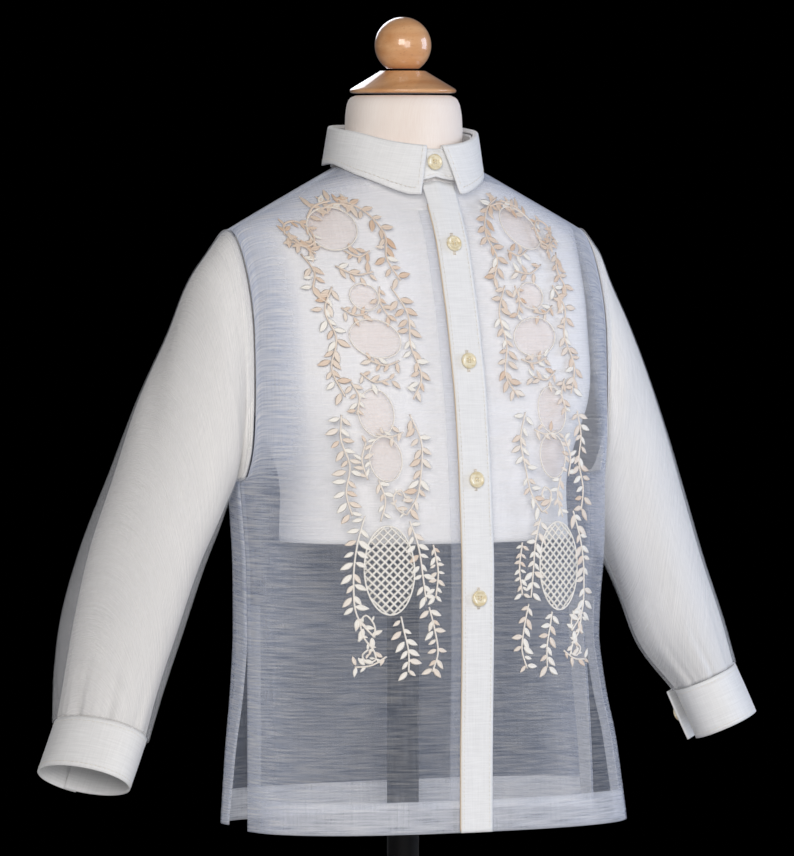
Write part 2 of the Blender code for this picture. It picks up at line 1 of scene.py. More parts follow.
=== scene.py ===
"""Looks of a child's barong tagalog shirt on a limbless dress form.

The shirt is sheer open-weave cloth: two fronts, a back, lined sleeves, cuffs, a two-piece
collar, a placket band, turned hems and faced side vents, with embroidery down both fronts.
Shapes are worked out in millimetres, with heights measured up from the front hem, and are put
into the meshes in metres. The fronts face -Y and the wearer's left is +X.
"""

import logging
import math
from dataclasses import dataclass
from enum import Enum
from typing import Any, Callable, Optional, Sequence

import bpy
import numpy as np
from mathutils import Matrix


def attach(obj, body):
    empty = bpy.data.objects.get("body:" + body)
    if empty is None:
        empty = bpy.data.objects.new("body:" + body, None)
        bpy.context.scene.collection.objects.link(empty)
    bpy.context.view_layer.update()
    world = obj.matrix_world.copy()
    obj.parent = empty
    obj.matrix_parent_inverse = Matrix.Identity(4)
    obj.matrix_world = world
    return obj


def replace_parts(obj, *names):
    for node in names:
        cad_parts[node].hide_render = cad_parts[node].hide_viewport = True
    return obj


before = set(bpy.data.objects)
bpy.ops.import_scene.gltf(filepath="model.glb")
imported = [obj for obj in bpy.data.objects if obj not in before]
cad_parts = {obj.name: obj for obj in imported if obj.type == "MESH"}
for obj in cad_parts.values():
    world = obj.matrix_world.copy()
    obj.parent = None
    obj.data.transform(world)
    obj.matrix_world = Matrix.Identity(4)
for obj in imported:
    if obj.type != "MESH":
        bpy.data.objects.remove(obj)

Array = np.ndarray
Tree = bpy.types.NodeTree
Socket = bpy.types.NodeSocket

MM = 0.001
HEM_ABOVE_FLOOR = 150.0
FAR = 60.0  # a seam further off than this doesn't show
Surface = Callable[[Array, Array, Any], Array]
log = logging.getLogger("barong")


class Side(Enum):
    """The wearer's side, by the sign of its X."""

    RIGHT = -1
    LEFT = 1

    @property
    def word(self) -> str:
        """The side's word in piece names."""
        return self.name.lower()


class Wall(Enum):
    """Which way a wall grows from the grid it is made on."""

    INWARDS = -1.0
    OUTWARDS = 1.0


# ---------------------------------------------------------------- colours and nodes


def tone(code: str) -> tuple[float, float, float, float]:
    """An sRGB hex colour as linear values, by the sRGB curve.

    Args:
        code: six hex digits after a number sign.
    Returns:
        Linear red, green, blue and an alpha of one.
    """
    parts = np.array([int(code[i : i + 2], 16) for i in (1, 3, 5)]) / 255.0
    low, high = parts / 12.92, ((parts + 0.055) / 1.055) ** 2.4
    red, green, blue = np.where(parts <= 0.04045, low, high)
    return float(red), float(green), float(blue), 1.0


RANGE = ("Value", "From Min", "From Max", "To Min", "To Max")


def feed(tree: Tree, node: bpy.types.Node, inputs: dict) -> None:
    """Links each input to the output that feeds it, or sets it to a value.

    Args:
        tree: the tree that the node is in.
        node: the node.
        inputs: an input's name or number, and an output or a value.
    """
    for key, source in inputs.items():
        if isinstance(source, Socket):
            tree.links.new(source, node.inputs[key])
        else:
            node.inputs[key].default_value = source


def add_node(tree: Tree, kind: str, settings: dict, inputs: dict) -> bpy.types.Node:
    """A node with its settings and links.

    Args:
        tree: the material's or world's tree.
        kind: the node's type.
        settings: the node's own settings.
        inputs: an input's name or number, and the output that feeds it or its value.
    Returns:
        The new node.
    """
    made = tree.nodes.new(kind)
    for key, value in settings.items():
        setattr(made, key, value)
    feed(tree, made, inputs)
    return made


def stretched_noise(
    tree: Tree, place: Socket, size: tuple[float, float, float], detail: float
) -> Socket:
    """Noise whose grain has a size of its own along each axis: the place is scaled, then read.

    Args:
        tree: the material's tree.
        place: the coordinates.
        size: the grain's size along each axis, in millimetres.
        detail: how many finer octaves are added.
    Returns:
        The noise, from nought to one.
    """
    scale = tuple(1000.0 / length for length in size)
    scaled = add_node(tree, "ShaderNodeMapping", {}, {"Scale": scale, "Vector": place}).outputs[0]
    settings = {"Scale": 1.0, "Detail": detail, "Vector": scaled}
    return add_node(tree, "ShaderNodeTexNoise", {}, settings).outputs["Fac"]


@dataclass(frozen=True)
class Finish:
    """A finish: one material, made once and shared."""

    name: str

    def material(self) -> bpy.types.Material:
        """The finish's material, built on first use, with the shader's inputs that dress gives.

        A colour comes as a share and the two colours it lies between, and a normal as a height,
        how deep it goes in millimetres and how strongly it shows.

        Returns:
            The material.
        """
        if self.name in bpy.data.materials:
            return bpy.data.materials[self.name]
        made = bpy.data.materials.new(self.name)
        made.use_nodes = True
        tree = made.node_tree
        inputs = self.dress(tree)
        ends = dict(zip(("Factor", 6, 7), inputs["Base Color"]))
        inputs["Base Color"] = add_node(tree, "ShaderNodeMix", {"data_type": "RGBA"}, ends).outputs[2]
        if "Normal" in inputs:
            height, deep, strength = inputs["Normal"]
            relief = {"Height": height, "Distance": deep * MM, "Strength": strength}
            inputs["Normal"] = add_node(tree, "ShaderNodeBump", {}, relief).outputs[0]
        feed(tree, tree.nodes["Principled BSDF"], inputs)
        return made

    def dress(self, tree: Tree) -> dict:
        """Adds the finish's nodes and gives the shader's inputs."""
        raise NotImplementedError


@dataclass(frozen=True)
class Jusi(Finish):
    """Jusi, a plain open weave of fine raw silk and banana fibre, starched.

    The eye sees through it, with brighter streaks where thick places in the weft crowd
    together, and a closer white where plies lie on each other.
    """

    colour: str = "#CDD8F0"
    cover: float = 0.105  # what one face of one ply hides
    plies: float = 1.0
    net_pitch: float = 2.2
    seam_width: float = 5.5  # of the seam allowance pressed to each side, in millimetres
    weft: tuple[float, float, float] = (26.0, 1.3, 1.0)  # slubs: length, thickness
    warp: tuple[float, float, float] = (1.0, 40.0, 1.0)

    def dress(self, tree: Tree) -> dict:
        """Cover is one less the share that each ply lets through, raised to the number of plies.

        Args:
            tree: the material's tree.
        Returns:
            The shader's inputs.
        """
        place = add_node(tree, "ShaderNodeUVMap", {"uv_map": "cloth"}, {}).outputs[0]
        near, drawn, crowded = (
            add_node(tree, "ShaderNodeAttribute", {"attribute_name": name}, {}).outputs["Fac"]
            for name in ("near_seam", "drawn_out", "crowded")
        )
        weft = stretched_noise(tree, place, self.weft, 3.0)
        warp = stretched_noise(tree, place, self.warp, 2.0)
        cloudy = stretched_noise(tree, place, (55.0, 30.0, 40.0), 2.0)
        turned = FAR - self.seam_width
        thick, fine, clouds, allowance, doubled, white = (
            add_node(tree, "ShaderNodeMapRange", {}, dict(zip(RANGE, given))).outputs[0]
            for given in (
                (weft, 0.3, 0.7, 0.6, 1.35),
                (warp, 0.3, 0.7, -0.14, 0.14),
                (cloudy, 0.3, 0.7, -0.1, 0.1),
                (near, turned - 0.8, turned, 0.0, 1.6),
                (drawn, 0.0, 1.0, 1.0, 1.5),
                (weft, 0.35, 0.7, 0.0, 1.0),
            )
        )
        slubs = thick
        for other in (fine, clouds):
            slubs = add_node(tree, "ShaderNodeMath", {"operation": "ADD"}, {0: slubs, 1: other}).outputs[0]
        thread = allowance
        # crowded holds the yoke's and facings' plies and the sides' painted rim light
        for kind, other in (("ADD", self.plies), ("ADD", crowded), ("MULTIPLY", doubled), ("MULTIPLY", slubs)):
            thread = add_node(tree, "ShaderNodeMath", {"operation": kind}, {0: thread, 1: other}).outputs[0]
        powers = {0: 1.0 - self.cover, 1: thread}
        hidden = {0: 1.0, 1: add_node(tree, "ShaderNodeMath", {"operation": "POWER"}, powers).outputs[0]}
        alpha = add_node(tree, "ShaderNodeMath", {"operation": "SUBTRACT"}, hidden).outputs[0]
        ends = {"Factor": white, 6: tone(self.colour), 7: tone("#F1F1F4")}
        ground = add_node(tree, "ShaderNodeMix", {"data_type": "RGBA"}, ends).outputs[2]
        between = {0: 0.9, 1: self.netting(tree, place)}
        between = add_node(tree, "ShaderNodeMath", {"operation": "SUBTRACT"}, between).outputs[0]
        peach = add_node(tree, "ShaderNodeMath", {"operation": "MULTIPLY"}, {0: drawn, 1: between}).outputs[0]
        return {
            "Base Color": (peach, ground, tone("#F0CDB6")),
            "Alpha": alpha,
            "Roughness": 0.62,
            "Specular IOR Level": 0.25,
            "Sheen Weight": 0.12,
            "Sheen Roughness": 0.4,
            "Normal": (weft, 0.12, 0.5),
        }

    def netting(self, tree: Tree, place: Socket) -> Socket:
        """White whipped threads of the drawn work: the higher of two waves that cross aslant.

        Args:
            tree: the material's tree.
            place: the cloth's coordinates.
        Returns:
            Nought between the threads, and most on them.
        """
        slant = {"Rotation": (0, 0, math.pi / 4), "Vector": place}
        slant = add_node(tree, "ShaderNodeMapping", {}, slant).outputs[0]
        scale = 2 * math.pi / (20 * self.net_pitch * MM)
        waves = [
            add_node(tree, "ShaderNodeTexWave", {"bands_direction": way}, {"Scale": scale, "Vector": slant})
            for way in ("X", "Y")
        ]
        higher = {0: waves[0].outputs["Fac"], 1: waves[1].outputs["Fac"]}
        crest = add_node(tree, "ShaderNodeMath", {"operation": "MAXIMUM"}, higher).outputs[0]
        ends = dict(zip(RANGE, (crest, 0.6, 0.95, 0.0, 0.8)))
        return add_node(tree, "ShaderNodeMapRange", {}, ends).outputs[0]


@dataclass(frozen=True)
class BackedCloth(Finish):
    """The same weave on a fusible interlining, or a plain cotton lawn: white and opaque.

    The eye sees a dry white cloth with fine slubs across it.
    """

    colour: str = "#F0F0F0"
    shade: str = "#E4E4E4"
    weft: tuple[float, float, float] = (18.0, 1.1, 1.0)
    warp: tuple[float, float, float] = (1.1, 24.0, 1.0)
    bump: float = 0.12

    def dress(self, tree: Tree) -> dict:
        """Colour and bump both follow the slubs.

        Args:
            tree: the material's tree.
        Returns:
            The shader's inputs.
        """
        place = add_node(tree, "ShaderNodeUVMap", {"uv_map": "cloth"}, {}).outputs[0]
        weft = stretched_noise(tree, place, self.weft, 3.0)
        warp = stretched_noise(tree, place, self.warp, 2.0)
        less = add_node(tree, "ShaderNodeMath", {"operation": "MULTIPLY"}, {0: warp, 1: 0.6}).outputs[0]
        both = add_node(tree, "ShaderNodeMath", {"operation": "ADD"}, {0: weft, 1: less}).outputs[0]
        ends = dict(zip(RANGE, (both, 0.55, 1.05, 0.0, 1.0)))
        share = add_node(tree, "ShaderNodeMapRange", {}, ends).outputs[0]
        return {
            "Base Color": (share, tone(self.shade), tone(self.colour)),
            "Roughness": 0.72,
            "Specular IOR Level": 0.25,
            "Sheen Weight": 0.1,
            "Normal": (both, self.bump, 0.6),
        }


@dataclass(frozen=True)
class SatinThread(Finish):
    """Rayon embroidery floss in satin stitch, from ivory to tan.

    The eye sees soft silky pads with fine threads across them.
    """

    light: str = "#F6F2EA"
    dark: str = "#D9B493"
    pitch: float = 0.55  # drawn coarser than the real thread, so that it shows

    def dress(self, tree: Tree) -> dict:
        """The thread's colour goes by the piece's own shade from light to dark.

        Args:
            tree: the material's tree.
        Returns:
            The shader's inputs.
        """
        shade = add_node(tree, "ShaderNodeAttribute", {"attribute_name": "shade"}, {}).outputs["Fac"]
        place = add_node(tree, "ShaderNodeUVMap", {"uv_map": "cloth"}, {}).outputs[0]
        scale = 1000.0 / self.pitch / 20.0 * math.pi
        wave = {"Scale": scale, "Distortion": 0.4, "Vector": place}
        threads = add_node(tree, "ShaderNodeTexWave", {"bands_direction": "X"}, wave).outputs["Fac"]
        return {
            "Base Color": (shade, tone(self.light), tone(self.dark)),
            "Roughness": 0.42,
            "Specular IOR Level": 0.45,
            "Sheen Weight": 0.2,
            "Normal": (threads, 0.12, 0.5),
        }


@dataclass(frozen=True)
class Shell(Finish):
    """Polyester cast to look like trocas shell, polished.

    The eye sees a pale yellow pearl with cloudy layers under a clear gloss.
    """

    light: str = "#F3EACF"
    dark: str = "#DDCBA0"

    def dress(self, tree: Tree) -> dict:
        """Cloudy noise on object coordinates mixes the two colours.

        Args:
            tree: the material's tree.
        Returns:
            The shader's inputs.
        """
        place = add_node(tree, "ShaderNodeTexCoord", {}, {}).outputs["Object"]
        cloud = stretched_noise(tree, place, (3.5, 3.5, 2.0), 3.0)
        ends = dict(zip(RANGE, (cloud, 0.35, 0.65, 0.0, 1.0)))
        share = add_node(tree, "ShaderNodeMapRange", {}, ends).outputs[0]
        colour = (share, tone(self.dark), tone(self.light))
        return {"Base Color": colour, "Roughness": 0.28, "Coat Weight": 0.6, "Coat Roughness": 0.12}


@dataclass(frozen=True)
class Jersey(Finish):
    """Cotton jersey stretched over the form, with its fine ribs of knitting running up.

    The eye sees a matt cream skin with a soft even grain.
    """

    light: str = "#FBF1E9"
    dark: str = "#F2E4DA"
    body: str = "#FAF8F6"  # paler and less warm below the collar, where the shirt covers it
    paler: tuple[float, float] = (0.585, 0.615)  # heights over which it turns paler, in metres

    def dress(self, tree: Tree) -> dict:
        """Stretched noise stands for the ribs, and a broad noise for wear.

        Args:
            tree: the material's tree.
        Returns:
            The shader's inputs.
        """
        place = add_node(tree, "ShaderNodeUVMap", {"uv_map": "cloth"}, {}).outputs[0]
        ribs = stretched_noise(tree, place, (0.9, 9.0, 1.0), 2.0)
        worn = stretched_noise(tree, place, (60.0, 60.0, 60.0), 2.0)
        less = add_node(tree, "ShaderNodeMath", {"operation": "MULTIPLY"}, {0: ribs, 1: 0.5}).outputs[0]
        both = add_node(tree, "ShaderNodeMath", {"operation": "ADD"}, {0: worn, 1: less}).outputs[0]
        spot = add_node(tree, "ShaderNodeTexCoord", {}, {}).outputs["Object"]
        height = add_node(tree, "ShaderNodeSeparateXYZ", {}, {"Vector": spot}).outputs["Z"]
        share, covered = (
            add_node(tree, "ShaderNodeMapRange", {}, dict(zip(RANGE, given))).outputs[0]
            for given in ((both, 0.5, 1.0, 0.0, 1.0), (height, *self.paler, 1.0, 0.0))
        )
        ends = {"Factor": share, 6: tone(self.dark), 7: tone(self.light)}
        neck = add_node(tree, "ShaderNodeMix", {"data_type": "RGBA"}, ends).outputs[2]
        return {
            "Base Color": (covered, neck, tone(self.body)),
            "Roughness": 0.88,
            "Specular IOR Level": 0.2,
            "Sheen Weight": 0.25,
            "Normal": (ribs, 0.15, 0.5),
        }


@dataclass(frozen=True)
class Beech(Finish):
    """Steamed beech, turned on a lathe and lacquered.

    The eye sees reddish tan wood with short dark flecks and a thick clear gloss.
    """

    light: str = "#E6B281"
    dark: str = "#CB8C55"
    fleck: str = "#8F5428"

    def dress(self, tree: Tree) -> dict:
        """Growth bands and flecks run along X, as in a blank cut across the stand.

        Args:
            tree: the material's tree.
        Returns:
            The shader's inputs.
        """
        place = add_node(tree, "ShaderNodeTexCoord", {}, {}).outputs["Object"]
        bands = stretched_noise(tree, place, (90.0, 16.0, 9.0), 3.0)
        flecks = stretched_noise(tree, place, (5.0, 0.7, 0.7), 2.0)
        share, spots = (
            add_node(tree, "ShaderNodeMapRange", {}, dict(zip(RANGE, given))).outputs[0]
            for given in ((bands, 0.35, 0.65, 0.1, 1.0), (flecks, 0.6, 0.72, 0.0, 0.35))
        )
        ends = {"Factor": share, 6: tone(self.dark), 7: tone(self.light)}
        body = add_node(tree, "ShaderNodeMix", {"data_type": "RGBA"}, ends).outputs[2]
        colour = (spots, body, tone(self.fleck))
        return {"Base Color": colour, "Roughness": 0.4, "Coat Weight": 1.0, "Coat Roughness": 0.07}


@dataclass(frozen=True)
class PowderCoat(Finish):
    """Black polyester powder coat on steel.

    The eye sees a dark satin skin with a fine orange-peel grain.
    """

    light: str = "#0A0A0B"
    dark: str = "#060607"

    def dress(self, tree: Tree) -> dict:
        """Fine noise on object coordinates gives the grain.

        Args:
            tree: the material's tree.
        Returns:
            The shader's inputs.
        """
        place = add_node(tree, "ShaderNodeTexCoord", {}, {}).outputs["Object"]
        grain = stretched_noise(tree, place, (1.6, 1.6, 1.6), 2.0)
        return {
            "Base Color": (grain, tone(self.dark), tone(self.light)),
            "Roughness": 0.6,
            "Specular IOR Level": 0.15,
            "Normal": (grain, 0.08, 0.5),
        }


@dataclass(frozen=True)
class PalePaint(Finish):
    """Matt emulsion on the studio's round table: an even pale grey."""

    light: str = "#DEDCD8"
    dark: str = "#D6D4D0"

    def dress(self, tree: Tree) -> dict:
        """A broad noise keeps it from looking printed.

        Args:
            tree: the material's tree.
        Returns:
            The shader's inputs.
        """
        place = add_node(tree, "ShaderNodeTexCoord", {}, {}).outputs["Object"]
        cloud = stretched_noise(tree, place, (300.0, 300.0, 300.0), 2.0)
        return {"Base Color": (cloud, tone(self.dark), tone(self.light)), "Roughness": 0.85}


JUSI = Jusi("jusi_sheer")
JUSI_HEM = Jusi("jusi_turned_hem", plies=4.8, colour="#E9EBF0")
JUSI_FACING = Jusi("jusi_facing", plies=4.0, colour="#EDEDEA")
JUSI_SLEEVE = Jusi("jusi_sleeve", plies=1.6, colour="#E6E8EC")
JUSI_UNDERLAP = Jusi("jusi_underlap", plies=1.2)
BACKED = BackedCloth("jusi_on_interlining")
LAWN = BackedCloth("cotton_lawn_lining", colour="#F3F1EE", shade="#EEECE9", bump=0.03)
FLOSS = SatinThread("rayon_floss")
# sewing thread, whose dark tan also paints the shadow lines beside the placket and where the sleeves are
# gathered into the cuffs
THREAD_AND_SHADOWS = SatinThread("sewing_thread_and_painted_shadows", light="#F0EEE8", dark="#C9A878", pitch=0.4)
SHELL = Shell("trocas_look_button")
JERSEY = Jersey("cotton_jersey")
BEECH = Beech("lacquered_beech")
STEEL = PowderCoat("powder_coated_steel")
PAINT = PalePaint("pale_matt_paint")


# ---------------------------------------------------------------- meshes from arrays


def to_metres(points: Array) -> Array:
    """Millimetres above the hem as metres above the floor.

    Args:
        points: places in millimetres.
    Returns:
        Places in metres.
    """
    placed = np.array(points, float)
    placed[..., 2] += HEM_ABOVE_FLOOR
    return placed * MM


def arc_lengths(points: Array, axis: int) -> Array:
    """Distance along a grid's lines from their first point: the running sum of the steps.

    Args:
        points: rows, columns and places.
        axis: which way the lines run.
    Returns:
        The distance to each point.
    """
    steps = np.linalg.norm(np.diff(points, axis=axis), axis=-1)
    start = np.zeros_like(np.take(steps, [0], axis=axis))
    return np.concatenate([start, np.cumsum(steps, axis=axis)], axis=axis)


def new_piece(
    name: str, vertices: Array, faces: list, uv: Array, finish: Finish, facts: dict
) -> bpy.types.Object:
    """A mesh object at the origin that rides on the part.

    Args:
        name: the piece's name.
        vertices: points in millimetres.
        faces: each face's point numbers.
        uv: each face corner's place on the flat cloth, in metres.
        finish: its material.
        facts: named values, one for each point, that its material reads.
    Returns:
        The new object.
    """
    mesh = bpy.data.meshes.new(name)
    mesh.from_pydata(to_metres(vertices).tolist(), [], faces)
    layer = mesh.uv_layers.new(name="cloth")
    layer.data.foreach_set("uv", np.asarray(uv, np.float32).ravel())
    for key, values in facts.items():
        made = mesh.attributes.new(key, "FLOAT", "POINT")
        made.data.foreach_set("value", np.asarray(values, np.float32).ravel())
    mesh.materials.append(finish.material())
    mesh.shade_smooth()
    mesh.update()
    piece = bpy.data.objects.new(name, mesh)
    bpy.context.scene.collection.objects.link(piece)
    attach(piece, "root")
    log.info("%s: %d faces", name, len(faces))
    return piece


def grid_piece(
    name: str,
    points: Array,
    finish: Finish,
    closed: bool = False,
    flip: bool = False,
    thick: float = 0.0,
    wall: Wall = Wall.INWARDS,
    facts: Optional[dict] = None,
) -> bpy.types.Object:
    """A piece on a grid of points, its UV the distance along the grid's lines.

    Args:
        name: the piece's name.
        points: rows, columns and their places, in millimetres.
        finish: its material.
        closed: whether the last column joins the first.
        flip: turns the faces over, where the rows and columns wind inwards.
        thick: wall thickness in millimetres, or nought for a surface with no wall.
        wall: which way the wall grows.
        facts: values for each point that the material reads.
    Returns:
        The new object.
    """
    rows, columns = points.shape[:2]
    across = columns if closed else columns - 1
    numbers = np.meshgrid(np.arange(rows - 1), np.arange(across), indexing="ij")
    row, place = (part.ravel() for part in numbers)
    corners = ((row, place), (row, place + 1), (row + 1, place + 1), (row + 1, place))
    corners = corners[::-1] if flip else corners
    faces = np.stack([r * columns + c % columns for r, c in corners], axis=-1)
    wrapped = np.concatenate([points, points[:, :1]], axis=1) if closed else points
    u = arc_lengths(wrapped, 1)
    u = u - u[:, -1:] / 2 + u[:, -1:].mean() / 2
    v = arc_lengths(wrapped, 0)
    uv = np.stack([np.stack([u[r, c], v[r, c]], axis=-1) for r, c in corners], axis=1) * MM
    piece = new_piece(name, points.reshape(-1, 3), faces.tolist(), uv, finish, facts or {})
    if thick:
        solid = piece.modifiers.new("wall", "SOLIDIFY")
        solid.thickness = thick * MM
        solid.offset = wall.value
        solid.use_rim = True
    return piece


LEAF_SECTION = ((-1, 0), (-0.62, 0.9), (-0.2, 0.75), (0, 0.12), (0.2, 0.75), (0.62, 0.9), (1, 0), (0, -0.2))
CORD_SECTION = ((-1, 0), (-0.6, 0.8), (0, 1), (0.6, 0.8), (1, 0), (0, -0.2))
THREAD_SECTION = ((-1, 0), (0, 1), (1, 0), (0, -0.4))


@dataclass
class Strands:
    """Many like threads, leaves or bars: paths on a surface, with sizes at each point."""

    paths: Array
    half: Any
    high: Any
    shade: Any
    section: Sequence
    lift: float = 0.0


def strands(
    name: str, groups: Sequence[Strands], lay: Surface, finish: Finish
) -> bpy.types.Object:
    """Threads, leaves or bars joined in one mesh, each laid on a surface.

    A strand's points are its path's points moved across it by its half width times the
    section's first number, and lifted off the surface by its height times the second.

    Args:
        name: the piece's name.
        groups: the kinds of strand.
        lay: carries places and a lift to points in the round.
        finish: its material.
    Returns:
        The new object.
    """
    vertices, faces, uvs, shades = [], [], [], []
    first = 0
    for group in groups:
        paths = group.paths
        count, length = paths.shape[:2]
        half, high = (np.broadcast_to(size, (count, length)) for size in (group.half, group.high))
        shade = np.asarray(group.shade, float).reshape(-1, 1, 1)
        shade = np.broadcast_to(shade, (count, length, len(group.section)))
        loop = np.array(group.section, float)
        ring = len(loop)
        along = np.gradient(paths, axis=1)
        along /= np.linalg.norm(along, axis=-1, keepdims=True) + 1e-9
        side = np.stack([along[..., 1], -along[..., 0]], axis=-1)
        flat = paths[:, :, None, :] + half[:, :, None, None] * loop[:, :1] * side[:, :, None, :]
        points = lay(flat[..., 0], flat[..., 1], group.lift + high[:, :, None] * loop[:, 1])
        vertices.append(points.reshape(-1, 3))
        shades.append(shade.ravel())
        counts = (np.arange(count), np.arange(length - 1), np.arange(ring))
        strand, step, edge = np.meshgrid(*counts, indexing="ij")
        beside = (edge + 1) % ring
        base = strand * length * ring
        near, far = base + step * ring, base + (step + 1) * ring
        quads = np.stack([near + edge, near + beside, far + beside, far + edge], axis=-1).reshape(-1, 4)
        starts = np.arange(count)[:, None] * length * ring
        heads = starts + np.arange(ring)[None, ::-1]
        tails = starts + (length - 1) * ring + np.arange(ring)[None, :]
        caps = np.concatenate([heads, tails])
        run = np.broadcast_to(arc_lengths(paths, 1)[:, :, None], (count, length, ring))
        uv = np.stack([run, half[:, :, None] * loop[:, 0]], axis=-1).reshape(-1, 2) * MM
        uvs += [uv[quads.ravel()], uv[caps.ravel()]]
        faces += (quads + first).tolist() + (caps + first).tolist()
        first += count * length * ring
    uv = np.concatenate(uvs)
    facts = {"shade": np.concatenate(shades)}
    return new_piece(name, np.concatenate(vertices), faces, uv, finish, facts)


def stitches(places: Array, lift: float = 0.0, pitch: float = 3.0, shade: float = 0.12) -> Strands:
    """A row of lockstitch along a line: each stitch a short spindle dipping in at both ends.

    Args:
        places: the line, on the surface.
        lift: how far it is off the surface.
        pitch: from one stitch to the next, in millimetres.
        shade: the thread's shade.
    Returns:
        The stitches as strands.
    """
    run = arc_lengths(places, 0)
    starts = np.arange(1.0, run[-1] - pitch, pitch)
    at = starts[:, None] + np.linspace(0.0, 0.76 * pitch, 4)[None, :]
    paths = np.stack([np.interp(at, run, places[:, axis]) for axis in range(2)], axis=-1)
    half, high = np.array([0.1, 0.26, 0.26, 0.1]), np.array([0.1, 0.3, 0.3, 0.1])
    return Strands(paths, half, high, shade, THREAD_SECTION, lift)


def smooth(values: Array, knots: Array, at: Array) -> Array:
    """A cubic through values at knots, its slopes those of the parabola through three of them.

    Args:
        values: a row for each knot.
        knots: rising places of the rows.
        at: places to read it at.
    Returns:
        A row for each place.
    """
    values, knots = np.asarray(values, float), np.asarray(knots, float)
    slopes = np.gradient(values, knots, axis=0)
    place = np.clip(np.searchsorted(knots, at, side="right") - 1, 0, len(knots) - 2)
    width = knots[place + 1] - knots[place]
    shape = (-1,) + (1,) * (values.ndim - 1)
    t, width = ((at - knots[place]) / width).reshape(shape), width.reshape(shape)
    ends = (2 * t**3 - 3 * t**2 + 1) * values[place] + (3 * t**2 - 2 * t**3) * values[place + 1]
    leans = (t**3 - 2 * t**2 + t) * slopes[place] + (t**3 - t**2) * slopes[place + 1]
    return ends + width * leans


def curve(points: Sequence, count: int) -> Array:
    """A smooth line of count points, evenly spaced, through a few given ones.

    Args:
        points: the given points.
        count: how many to give back.
    Returns:
        The points of the line.
    """
    points = np.array(points, float)
    steps = np.linalg.norm(np.diff(points, axis=0), axis=-1)
    knots = np.concatenate([[0.0], np.cumsum(steps)])
    return smooth(points, knots, np.linspace(0, knots[-1], count))


def moved(points: Array, out: Any, flip: bool = False) -> Array:
    """A grid moved along its own normals, which are its lines' cross products.

    Args:
        points: rows, columns and places.
        out: how far, in millimetres.
        flip: turns the normals over.
    Returns:
        The moved grid.
    """
    normal = np.cross(np.gradient(points, axis=1), np.gradient(points, axis=0))
    normal /= np.linalg.norm(normal, axis=-1, keepdims=True) + 1e-12
    return points + normal * out * (-1 if flip else 1)


# ---------------------------------------------------------------- the shirt's block


